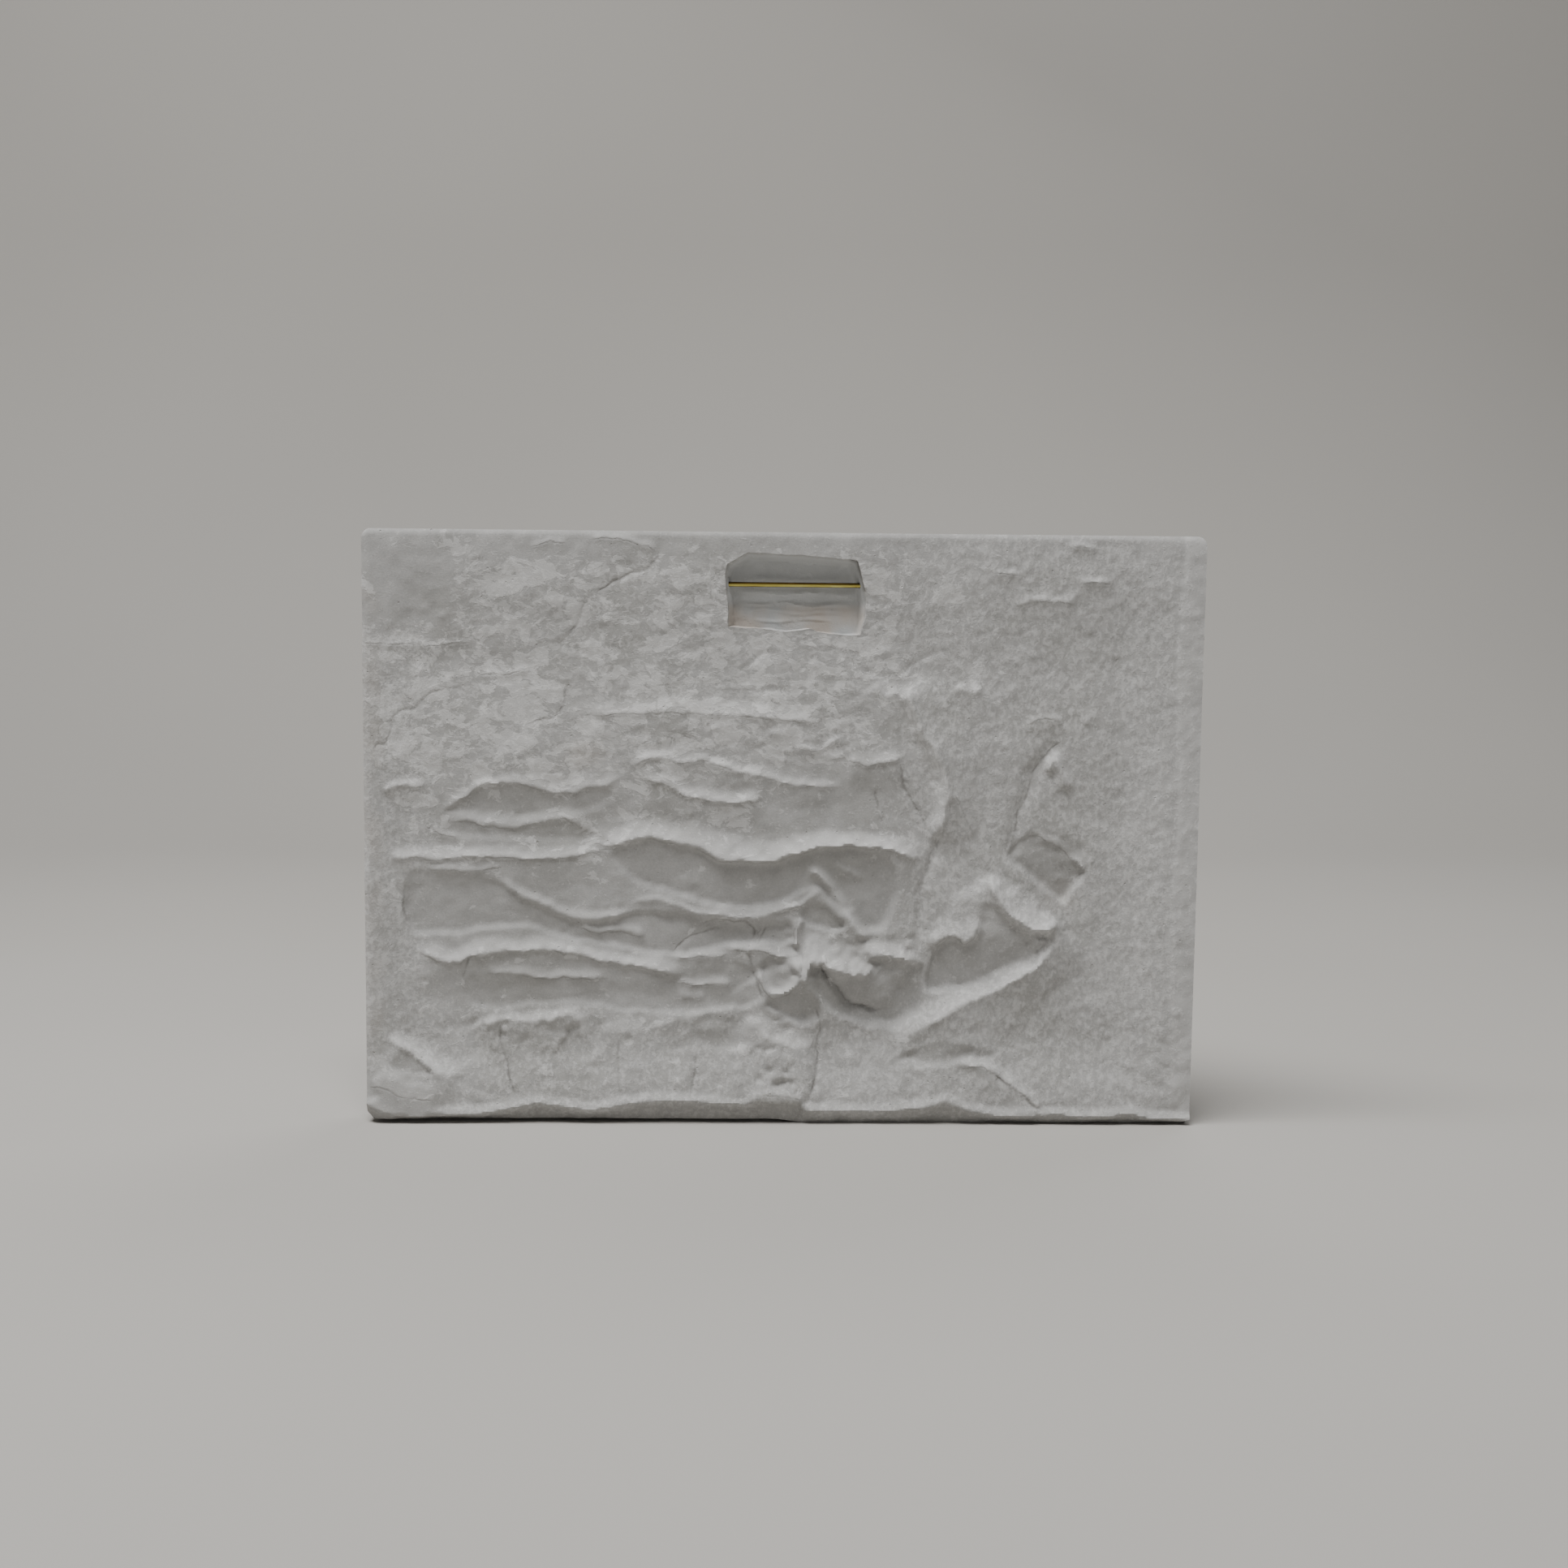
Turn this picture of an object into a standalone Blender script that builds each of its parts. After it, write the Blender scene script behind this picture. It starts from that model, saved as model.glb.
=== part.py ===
"""A hollow-backed plaster bas-relief with its hanging rod, standing on its lower edge.

Metres, +Z up. The carved back faces -Y and the moulded front +Y. The origin is the middle of the hanging
rod, which spans a pocket near the top of the back. Places on the panel are in percent of its width, from
its left edge, and of its height, from its foot. Heights of the carving are in percent of its height.
"""

import math

import bmesh
import bpy
import numpy as np

# Driving sizes of the casting
panel_width = 0.550
panel_height = 0.392
panel_thickness = 0.030
corner_radius = 0.006
draft_inset = 0.0015
side_round = 0.004
foot_lift = 0.0024
foot_step_u = 53.4
top_widening = 0.004

# The pocket for hanging, and its rod
pocket_width = 0.091
pocket_height = 0.053
pocket_depth = 0.0175
pocket_centre = (51.2, 89.7)
rod_place = (51.45, 91.3)
rod_diameter = 0.0032
rod_depth = 0.0085
rod_bite = 0.012
rod_gap = 0.0003
rod_sides = 24

# How the carving is drawn: the cells of the two faces, packed closer where it is richest, and its softness
front_cells = (34, 24)
back_cells = (2 * front_cells[0], 2 * front_cells[1])
rich_columns = (0.90, 88)
rich_rows = (0.80, 70)
front_softness = 2.3
front_share = 0.62
fall_softness = 2.4
wall_softness = 1.7
highest_crest = 0.9

# A shelf swells towards its lip over `above` and drops past it over `below`: (rise, above, below, lip). The
# gentle side is on the left of the lip as its points run, and several widths are spread evenly along it.
SHELVES = {
    "long_shelf": (2.3, (3.0, 4.0, 5.5, 3.2, 2.2, 3.2), 0.9, [(26, 48.6), (29.5, 47.7), (33.5, 49), (36.5, 48.4),
        (39, 47.8), (42, 45.6), (45, 45), (48.5, 45.1), (52, 46.7), (56, 47.8), (60, 47.7), (62.5, 47.4), (65, 46),
        (67.5, 45.2)]),
    "left_shelf": (1.5, 2.4, 0.6, [(2.5, 44.9), (5.5, 45.2), (10, 45.2), (15, 45.4), (20, 45.3), (24.5, 45.7),
        (29.9, 46.6)]),
    "lens_brow": (1.3, (1.4, 1.2, 2.2, 2.8, 2.2), 0.6, [(9.5, 52.8), (11.5, 55.2), (14, 57.5), (17, 58),
        (20, 57.4), (24.3, 55.9), (26, 57.3), (29, 57.7), (31, 59.3)]),
    "lens_floor": (1.0, 3.2, 0.9, [(9.5, 51.8), (13, 51.4), (16, 50.4), (19, 50.5), (22.5, 51.9), (25, 51.4),
        (27, 50)]),
    "slant_fold": (1.1, 2.0, 2.0, [(15.5, 42), (18.5, 39), (21.5, 37.4), (24, 35.8), (26, 35.1), (29, 35.3),
        (32, 35.6)]),
    "waist_crest": (1.0, 1.0, 1.4, [(31, 37), (35, 37.8), (38, 37.2), (40, 36.2), (43, 35.8), (46, 34.9),
        (49, 35.2), (52.3, 36.8), (54, 38.6)]),
    "elbow_fold": (1.5, 1.8, 1.8, [(52.6, 43.5), (54.6, 40.3), (56, 37.7), (58, 34.5), (59.8, 32)]),
    "upper_ripple": (0.8, 1.4, 0.6, [(31.5, 60.6), (34, 62.2), (38, 61.4), (40.3, 61.9), (44, 60.2), (47, 59.6),
        (50, 58.2), (54, 57.8), (57.8, 57.5)]),
    "middle_ripple": (1.3, 2.0, 0.6, [(32.5, 58.9), (36, 57.8), (38, 56.4), (41, 55.3), (45, 55.1), (47.8, 55.6)]),
    "top_shelf": (0.8, 2.6, 0.5, [(25.3, 69.1), (31, 69.6), (36, 70), (41, 69.8), (47, 69.2), (55, 68.2)]),
    "neck_tab": (0.9, 1.8, 0.6, [(57.6, 61.9), (61, 61.6), (64.3, 62.6)]),
    "neck_fold": (1.4, (2.2, 3.4, 3.4, 2.0), 0.7, [(63.8, 64), (64.4, 59.5), (65.8, 55.5), (67.3, 51)]),
    "socket_slope": (2.0, (3.0, 6.0, 6.0, 3.0), 1.4, [(75.4, 38.8), (77.3, 36.2), (79.5, 34), (81.5, 32.6),
        (83.8, 33.6)]),
    "zigzag_tab": (0.9, 3.4, 0.6, [(67.8, 31), (69.5, 31.8), (70.7, 32.3), (72.6, 30.9), (73.9, 33)]),
    "great_diagonal": (2.0, (4.5, 3.6, 2.4, 1.4), (3.0, 2.2, 0.9, 0.7), [(67.3, 15.5), (70, 17.5), (73, 19.5),
        (76, 21.5), (79, 24.2), (81.5, 27.5), (84.2, 31.8)]),
    "foot_fold": (1.0, 1.8, 0.8, [(71.3, 9.8), (73.5, 10.3), (75.3, 9.5), (77.5, 7.3), (80, 4.6), (82.2, 2.3)]),
    "lower_shelf": (1.8, (2.6, 3.2, 2.6, 1.6), 0.7, [(5.3, 30.4), (8, 28.2), (11, 27.6), (13.3, 28.8),
        (16, 29.4), (20, 29.7), (24, 29.4), (28, 28), (32, 27.3), (36, 26), (39, 24.8)]),
    "lower_shelf_echo": (1.0, 1.7, 0.7, [(14.3, 25.7), (19, 25.4), (23, 24.9), (29.3, 25)]),
    "base_brow": (1.3, 2.0, 0.8, [(12.4, 15), (14.5, 16.4), (17, 17.2), (21, 17.3), (25, 17.6)]),
    "corner_fold": (1.2, 2.2, 1.0, [(2, 15), (4.5, 13), (6.5, 10.7), (9, 8.3), (12, 8)]),
    "corner_tongue": (1.3, 2.4, 0.8, [(0.6, 6.6), (3, 6.1), (5.5, 4.8), (8.9, 4.2)]),
    "belt_right": (0.9, 1.5, 0.7, [(43.6, 29.6), (46.5, 29.7), (50, 28.8), (52.2, 28.8)]),
    "knot": (2.2, 3.4, 1.2, [(51.4, 27), (53, 28.5), (55, 28), (57, 25.8), (60, 24)]),
    "collar": (1.4, 2.0, 0.8, [(56, 30.2), (60, 30.4), (63, 29.4), (66.3, 27.8)]),
    "base_slope_left": (0.9, 2.2, 1.6, [(26, 16.4), (30, 16.3), (34, 16.8), (38, 17), (41, 16.4), (46, 17)]),
    "base_slope_mid": (1.5, 3.2, 1.6, [(45.5, 18.5), (48.5, 17), (51, 14.8), (54.2, 12.5)]),
}

# A hollow: (depth, width of its wall under its top edge, width of its wall at its foot, outline), the outline
# running anticlockwise.
HOLLOWS = {
    "long_hollow": (2.3, 1.0, 2.6, [(29.8, 46.6), (30, 44), (33, 40.5), (38, 38.9), (42, 37.8), (46, 36.8),
        (50, 37.5), (53, 40), (55, 39), (57.5, 36), (59.8, 33.5), (61.8, 33), (63.3, 35.5), (63.9, 40),
        (63.3, 44.3), (61.5, 46.9), (58, 47.5), (54, 47.2), (50.5, 45.4), (46, 44.7), (42.5, 45), (39.5, 47),
        (36, 48), (33.5, 48.5)]),
    "lens": (1.4, 0.8, 3.0, [(9.5, 52.5), (13, 52), (18, 51.3), (23, 52.3), (27, 53), (29.5, 55), (29, 57.2),
        (26, 57), (24.3, 55.8), (20, 57.2), (17, 57.8), (14, 57.2), (11.5, 55)]),
    "left_basin": (1.3, 1.6, 1.6, [(5, 33), (10, 32.3), (18, 33.3), (24, 31.5), (31, 29.8), (37, 28.2), (45, 30.5),
        (51, 31), (51, 34.5), (46, 34.4), (40, 35.6), (33, 36), (26, 34.6), (20, 37.3), (15, 41.5), (9, 42.8),
        (5.2, 42.5)]),
    "low_basin": (1.1, 0.8, 2.2, [(12.5, 20), (18, 19.5), (25, 19.5), (32, 19), (40, 18.8), (46, 20), (47.5, 22),
        (46, 27), (40, 27.5), (38.5, 25), (32, 26.8), (27, 27.6), (20, 29), (14, 28.3), (12, 25)]),
    "corner_pit": (1.4, 0.7, 1.8, [(47.8, 20.3), (49.5, 18.8), (51.5, 17.2), (53, 16.8), (54.3, 18), (53.3, 21.5),
        (52, 23), (50, 21.6)]),
    "deep_cleft": (2.6, 0.8, 2.4, [(53.4, 24), (54.6, 20.2), (57, 18), (60, 16), (64, 15.3), (66.7, 17),
        (67.2, 19.5), (65, 20.2), (62, 19), (59, 20.4), (57.3, 22), (56.2, 25.6), (55, 27.2), (53.7, 26.6)]),
    "cheek_hollow": (1.3, 1.0, 2.4, [(58, 23.5), (61, 21.5), (65, 21), (67.2, 22.5), (67.3, 26.3), (64.5, 28.6),
        (60.8, 29), (59.3, 27), (59.8, 25)]),
    "socket": (2.0, 1.4, 1.2, [(77.7, 45), (79.5, 42.5), (82, 39), (83.8, 37.7), (85, 40), (86.1, 42.7),
        (84.5, 45), (83, 47), (80.5, 48), (78.5, 47.3)]),
    "right_basin": (1.6, 1.2, 1.6, [(68, 22.5), (73, 23.3), (78, 26.3), (80.3, 28.5), (80, 32), (77.5, 35.2),
        (75, 38), (73.9, 37.5), (73.9, 33), (72.7, 31.5), (70.8, 32), (69.3, 31), (67.8, 28)]),
    "arm_trough": (1.3, 2.6, 2.6, [(78, 47), (79.5, 48), (79.8, 53), (80.8, 58), (82, 62.5), (81.5, 65),
        (79.5, 66.5), (77.5, 68), (76.7, 64), (77.5, 60), (78.3, 55)]),
    "foot_pit": (1.0, 0.8, 0.9, [(66.5, 10.5), (70, 9.6), (73, 10.3), (72.5, 12), (69.5, 13.2), (67.5, 12.3)]),
}

# The pocket, cut by hand: shares of its width and height from its centre
POCKET_OUTLINE = [
    (-0.5, 0.23), (-0.48, 0.35), (-0.38, 0.46), (-0.34, 0.5), (0.05, 0.47), (0.38, 0.42), (0.43, 0.4),
    (0.47, 0.2), (0.5, -0.08), (0.5, -0.28), (0.47, -0.49), (0.38, -0.5), (0.17, -0.46), (0.11, -0.42), (-0.07, -0.46),
    (-0.19, -0.43), (-0.48, -0.4), (-0.48, -0.12),
]


def curve_through(points, closed=False, steps=6):
    """A smooth curve: each span is a cubic whose slope at a point is half the step between its neighbours."""
    p = np.array(points, float)
    if closed:
        p = np.vstack([p[-1], p, p[0], p[1]])
    else:
        p = np.vstack([2 * p[0] - p[1], p, 2 * p[-1] - p[-2]])
    t = np.linspace(0, 1, steps, endpoint=False)[:, None]
    a, b, c, d = p[:-3, None], p[1:-2, None], p[2:-1, None], p[3:, None]
    spans = 0.5 * (2 * b + (c - a) * t + (2 * a - 5 * b + 4 * c - d) * t**2 + (3 * b - 3 * c + d - a) * t**3)
    return np.vstack([spans.reshape(-1, 2), p[-2]])


def from_curve(x, z, curve):
    """Distance to a curve, positive on its left, the place along it from 0 to 1, and how far up the curve lies."""
    start, step = curve[:-1], np.diff(curve, axis=0)
    across = x[:, None] - start[:, 0]
    up = z[:, None] - start[:, 1]
    along = np.clip((across * step[:, 0] + up * step[:, 1]) / np.maximum((step**2).sum(1), 1e-12), 0, 1)
    across -= along * step[:, 0]
    up -= along * step[:, 1]
    nearest = np.argmin(across**2 + up**2, axis=1)
    row = np.arange(len(x))
    across, up = across[row, nearest], up[row, nearest]
    distance = np.hypot(across, up)
    side = np.where(step[nearest, 0] * up < step[nearest, 1] * across, -1, 1)
    place = (nearest + along[row, nearest]) / len(step)
    return distance * side, place, -up / np.maximum(distance, 1e-9)


def smooth(t):
    t = np.clip(t, 0, 1)
    return t * t * (3 - 2 * t)


def varied(value, place):
    """A width that is one number, or several that are spread evenly along a curve."""
    return np.interp(place, np.linspace(0, 1, np.size(value)), np.atleast_1d(value))


def carving(u, v, softness=1.0):
    """Height of the shelves above, and of the hollows below, the plain slab."""
    aspect = panel_width / panel_height
    height = np.zeros(len(u))
    for rise, above, below, lip in SHELVES.values():
        distance, place, _ = from_curve(u * aspect, v, curve_through(lip) * (aspect, 1))
        gentle = distance / (varied(above, place) * softness)
        steep = -distance / (varied(below, place) * fall_softness * softness)
        fade = smooth(place / 0.12) * smooth((1 - place) / 0.12)
        swell = np.where(distance > 0, np.clip(1 - gentle, 0, 1) ** 1.5, np.clip(1 - steep, 0, 1) ** 2)
        height += rise * fade * swell
    for depth, upper, lower, outline in HOLLOWS.values():
        distance, _, up = from_curve(u * aspect, v, curve_through(outline, closed=True) * (aspect, 1))
        wall = wall_softness * softness * ((upper + lower) / 2 + (upper - lower) / 2 * up)
        height -= depth * smooth((distance / wall + 0.25) / 1.25)
    return height


def slab(u, v):
    """The plain slab of the back: a dished field, a foot that comes forward to a wavy lip, and worn edges."""
    edge_fade = smooth(u / 6) * smooth((98 - u) / 8) * smooth((v - 3) / 12)
    height = -0.9 * smooth((97 - v) / 20) * edge_fade
    height -= 0.5 * smooth((64 - v) / 14) * edge_fade
    height += 1.5 * smooth((17 - v) / 14) * smooth((u - 3) / 12) * smooth((93 - u) / 15)
    lip = 2.6 - 1.2 * smooth((u - 47) / 8) + 0.35 * np.sin(u * 0.35)
    lip += 0.5 * np.sin(u * 0.9) * smooth((u - 50) / 10)
    height -= 2.2 * np.clip((lip - v) / lip, 0, 1) ** 0.8
    height -= 1.3 * np.clip((u - 97.4) / 2.6, 0, 1) ** 1.2
    height -= 0.5 * np.clip((1.2 - u) / 1.2, 0, 1) ** 2
    height -= 0.6 * np.clip((v - 98.8) / 1.2, 0, 1) ** 2
    return height


def evened(form, u, v):
    """A form's mean over nine places in a cell, so that a lip which runs askew across cells isn't notched."""
    reach = 36 / np.array(back_cells)
    places = [(u + across * reach[0], v + up * reach[1]) for across in (-1, 0, 1) for up in (-1, 0, 1)]
    return sum(form(*place) for place in places) / len(places)


def back_depth(u, v):
    """Y of the back: its heights, eased off where they would stand far past the rim."""
    height = slab(u, v) + evened(carving, u, v)
    excess = np.maximum(height - highest_crest, 0)
    height = height - excess + 0.5 * excess / (1 + excess)
    return -rod_depth - height * panel_height / 100


def front_depth(u, v):
    """Y of the front: the back's hollows stand out of it, softly, and fade towards its edges."""
    fade = smooth(u / 9) * smooth((100 - u) / 9) * smooth(v / 9) * smooth((100 - v) / 9)
    height = -front_share * fade * carving(u, v, front_softness)
    worn = np.clip(1 - np.minimum(u, 100 - u) / 2.5, 0, 1) ** 2
    worn += np.clip(1 - np.minimum(v, 100 - v) / 3, 0, 1) ** 2
    return panel_thickness - rod_depth + (height - 0.5 * worn) * panel_height / 100


def on_panel(u, v, inset=0.0):
    """X and Z of a place on the panel: rounded corners, a wider top and a left foot that is cast off the floor."""
    across = (u / 100 - 0.5) * (panel_width - 2 * inset)
    up = (v / 100 - 0.5) * (panel_height - 2 * inset)
    into_x = 1 - np.clip((panel_width / 2 - inset - abs(across)) / corner_radius, 0, 1)
    into_z = 1 - np.clip((panel_height / 2 - inset - abs(up)) / corner_radius, 0, 1)
    across -= np.sign(across) * corner_radius * into_x * (1 - np.sqrt(1 - into_z**2 / 2))
    up -= np.sign(up) * corner_radius * into_z * (1 - np.sqrt(1 - into_x**2 / 2))
    across *= 1 + top_widening * (v / 100 - 1)
    up += foot_lift * smooth((foot_step_u - u) / 4) * (1 - v / 100) ** 12
    x = across + (0.5 - rod_place[0] / 100) * panel_width
    z = up + (0.5 - rod_place[1] / 100) * panel_height
    return x, z


def border(cells):
    """The outer places of a grid, once round it."""
    columns, rows = cells
    path = [(i, 0) for i in range(columns)]
    path += [(columns, j) for j in range(rows)]
    path += [(i, rows) for i in range(columns, 0, -1)]
    path += [(0, j) for j in range(rows, 0, -1)]
    return path


def spread(share):
    """Places in percent for shares of a grid's cells, which lie closer together where the carving is richest."""
    u, v = share.T
    return np.interp(u, (0, rich_columns[0], 1), (0, rich_columns[1], 100)), np.interp(
        v, (0, rich_rows[0], 1), (0, rich_rows[1], 100)
    )


def grid_on_panel(bm, cells, depth, inset):
    """A grid of faces laid over the panel at a depth that its places give. Returns its points by place."""
    columns, rows = cells
    points = bmesh.ops.create_grid(bm, x_segments=columns, y_segments=rows, size=0.5)["verts"]
    share = np.array([(point.co.x + 0.5, point.co.y + 0.5) for point in points])
    u, v = spread(share)
    x, z = on_panel(u, v, inset)
    y = depth(u, v)
    for point, place in zip(points, zip(x, y, z)):
        point.co = place
    index = np.rint(share * cells).astype(int)
    return {tuple(int(n) for n in key): point for key, point in zip(index, points)}


def panel_mesh(name):
    """Back and front grids, joined round their edges by two rows of sides and a row that halves the points."""
    bm = bmesh.new()
    back = grid_on_panel(bm, back_cells, back_depth, 0.0)
    front = grid_on_panel(bm, front_cells, front_depth, draft_inset)
    rows = [[back[key] for key in border(back_cells)]]
    u, v = spread(np.array(border(back_cells)) / back_cells)
    back_y = np.array([point.co.y for point in rows[0]])
    for inset, y in (
        (0.0, np.maximum(back_y, -rod_depth) + side_round),
        (draft_inset * 0.8, np.full(len(u), panel_thickness - rod_depth - side_round)),
    ):
        x, z = on_panel(u, v, inset)
        z[(v == 0) & (u > foot_step_u)] = foot_z
        rows.append([bm.verts.new(place) for place in zip(x, y, z)])
    count = len(u)
    for near, far in zip(rows, rows[1:]):
        for k in range(count):
            bm.faces.new((near[k - 1], far[k - 1], far[k], near[k]))
    near, far = rows[-1], [front[key] for key in border(front_cells)]
    for k in range(len(far)):
        bm.faces.new((near[2 * k - 2], far[k - 1], far[k], near[2 * k], near[2 * k - 1]))
    bmesh.ops.recalc_face_normals(bm, faces=bm.faces)
    mesh = bpy.data.meshes.new(name)
    bm.to_mesh(mesh)
    bm.free()
    return mesh


def material(name, colour, roughness, metallic=0.0):
    made = bpy.data.materials.new(name)
    made.use_nodes = True
    shader = made.node_tree.nodes["Principled BSDF"]
    shader.inputs["Base Color"].default_value = (*colour, 1.0)
    shader.inputs["Roughness"].default_value = roughness
    shader.inputs["Metallic"].default_value = metallic
    return made


def keep_in(obj, collection):
    for old in obj.users_collection:
        old.objects.unlink(obj)
    collection.objects.link(obj)


def rod_shape(name, radius, length):
    """A round bar along X whose middle is the origin."""
    bpy.ops.mesh.primitive_cylinder_add(
        vertices=rod_sides, radius=radius, depth=length, rotation=(0, math.pi / 2, 0)
    )
    bar = bpy.context.object
    bar.name = bar.data.name = name
    bar.data.shade_smooth()
    bar.data.set_sharp_from_angle(angle=math.radians(40))
    return bar


def pocket_cutter(name):
    """The hand-cut pocket: a flat outline, from its floor out past the back."""
    outside = 0.03
    centre_x = (pocket_centre[0] - rod_place[0]) / 100 * panel_width
    centre_z = (pocket_centre[1] - rod_place[1]) / 100 * panel_height
    curve = bpy.data.curves.new(name, "CURVE")
    curve.dimensions = "2D"
    curve.fill_mode = "BOTH"
    curve.extrude = (pocket_depth + outside) / 2
    spline = curve.splines.new("POLY")
    spline.points.add(len(POCKET_OUTLINE) - 1)
    for point, (across, up) in zip(spline.points, POCKET_OUTLINE):
        point.co = (across * pocket_width, up * pocket_height, 0, 1)
    spline.use_cyclic_u = True
    flat = bpy.data.objects.new(name + "_outline", curve)
    flat.rotation_euler = (math.pi / 2, 0, 0)
    flat.location = (centre_x, pocket_depth - rod_depth - curve.extrude, centre_z)
    bpy.context.collection.objects.link(flat)
    bpy.context.view_layer.update()
    mesh = bpy.data.meshes.new_from_object(flat.evaluated_get(bpy.context.evaluated_depsgraph_get()))
    bm = bmesh.new()
    bm.from_mesh(mesh)
    bmesh.ops.remove_doubles(bm, verts=bm.verts, dist=1e-6)
    bmesh.ops.recalc_face_normals(bm, faces=bm.faces)
    bm.to_mesh(mesh)
    bm.free()
    cutter = bpy.data.objects.new(name, mesh)
    cutter.matrix_world = flat.matrix_world.copy()
    bpy.context.collection.objects.link(cutter)
    bpy.data.objects.remove(flat)
    return cutter


def cut(piece, cutter, cutters):
    keep_in(cutter, cutters)
    cutter.hide_render = True
    cutter.display_type = "WIRE"
    boolean = piece.modifiers.new(cutter.name, "BOOLEAN")
    boolean.operation = "DIFFERENCE"
    boolean.solver = "EXACT"
    boolean.object = cutter


for old_object in list(bpy.data.objects):
    bpy.data.objects.remove(old_object)

pieces = bpy.data.collections.new("plaster_relief")
cutters = bpy.data.collections.new("cutters")
bpy.context.scene.collection.children.link(pieces)
bpy.context.scene.collection.children.link(cutters)

plaster = material("plaster", (0.60, 0.59, 0.57), 0.9)
brass = material("old_brass", (0.42, 0.33, 0.18), 0.42, 1.0)

foot_z = -rod_place[1] / 100 * panel_height
rod_length = pocket_width + 2 * rod_bite
rod_radius = rod_diameter / 2

panel = bpy.data.objects.new("plaster_panel", panel_mesh("plaster_panel"))
pieces.objects.link(panel)
panel.data.materials.append(plaster)
panel.data.shade_smooth()
panel.data.set_sharp_from_angle(angle=math.radians(55))
cut(panel, pocket_cutter("pocket_cutter"), cutters)
cut(panel, rod_shape("rod_bore", rod_radius + rod_gap, rod_length + 2 * rod_gap), cutters)

rod = rod_shape("hanging_rod", rod_radius, rod_length)
rod.data.materials.append(brass)
keep_in(rod, pieces)
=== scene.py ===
"""The back of a hollow-backed plaster relief, with the brass rod that it hangs by, as seen in a studio."""

import math

import bpy
import numpy as np
from mathutils import Matrix, Vector


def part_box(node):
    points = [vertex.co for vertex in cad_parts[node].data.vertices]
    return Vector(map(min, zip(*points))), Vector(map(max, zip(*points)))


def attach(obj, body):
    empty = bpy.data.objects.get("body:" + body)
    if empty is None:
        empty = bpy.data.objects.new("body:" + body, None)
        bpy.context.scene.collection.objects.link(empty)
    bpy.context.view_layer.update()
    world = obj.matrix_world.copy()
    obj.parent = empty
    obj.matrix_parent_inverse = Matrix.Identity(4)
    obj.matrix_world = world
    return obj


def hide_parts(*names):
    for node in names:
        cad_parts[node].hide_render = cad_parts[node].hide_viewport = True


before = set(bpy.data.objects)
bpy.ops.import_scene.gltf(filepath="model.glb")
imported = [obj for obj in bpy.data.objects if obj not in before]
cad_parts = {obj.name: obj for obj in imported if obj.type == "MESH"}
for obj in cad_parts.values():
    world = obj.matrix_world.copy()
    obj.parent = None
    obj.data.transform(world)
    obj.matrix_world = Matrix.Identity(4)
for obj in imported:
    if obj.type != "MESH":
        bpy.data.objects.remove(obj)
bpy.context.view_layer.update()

# The casting is one slab of gypsum plaster, poured into a mould face down. Its back was pressed and slushed
# in by hand, so it is hollow where the front stands out. It stands on its lower edge, its back to the viewer.
# Places on it are in percent of its width, from its left edge, and of its height, from its foot, and how far
# a form stands out is in percent of its height. The rod's middle is the origin, and the rim of the back lies
# in the plane `rim_y`.
panel_low, panel_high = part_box("plaster_panel")
panel_width = panel_high.x - panel_low.x
panel_height = panel_high.z - panel_low.z
aspect = panel_width / panel_height
rod_u = -panel_low.x / panel_width * 100
rod_v = -panel_low.z / panel_height * 100
rim_y = -0.0085
panel_thickness = 0.030
corner_radius = 0.006
draft_inset = 0.0015
foot_lift = 0.0024
foot_step_u = 53.4
top_widening = 0.004

# How softly shelves fall and hollows' walls run, and how much of the back's depth the front shows
fall_softness = 0.75
narrowest_fall = 0.6
wall_softness = 0.6
front_softness = 2.3
front_share = 1.1

# Shares of the depths in the tables that the carving has, and how much of it is left in its calmer left part
shelf_share = 0.85
hollow_share = 0.75
calm_left = 0.78
calm_until = 36

# No crest stands higher than the first, and what would is eased off within the second
highest_crest = 0.95
crest_room = 0.19

# A shelf drops by `fall_share` of its rise at its lip, and the rest runs out over `run_out` of its upper
# width. Past a rising stroke's lip the plaster goes on nearly level. A hollow is `floor_start` of its depth
# under its top edge, and its floor slants back from there down to its foot.
fall_share = 0.36
run_out = 2.8
rising_fall_share = 0.12
rising_run_out = 1.8 * run_out
floor_start = 0.2
stroke_end = 0.12
rising_stroke_end = 0.25
groove_end = 0.15

# The plain slab: two steps of its dished field, the swell and lip at its foot, the undercut below that lip,
# the raised strip down the right edge, and the wear of its edges
dish_depth = 1.1
lower_dish_depth = 0.5
foot_swell = 0.15
foot_lip_rise = 0.95
foot_undercut = 2.2
right_strip = 96.9
right_strip_rise = 0.2
edge_wear = 0.4
edge_wear_width = 0.7

# The cells of the two faces: the front's are three of the back's wide
front_cells = (110, 79)
cell_ratio = 3
back_cells = (cell_ratio * front_cells[0], cell_ratio * front_cells[1])

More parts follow.
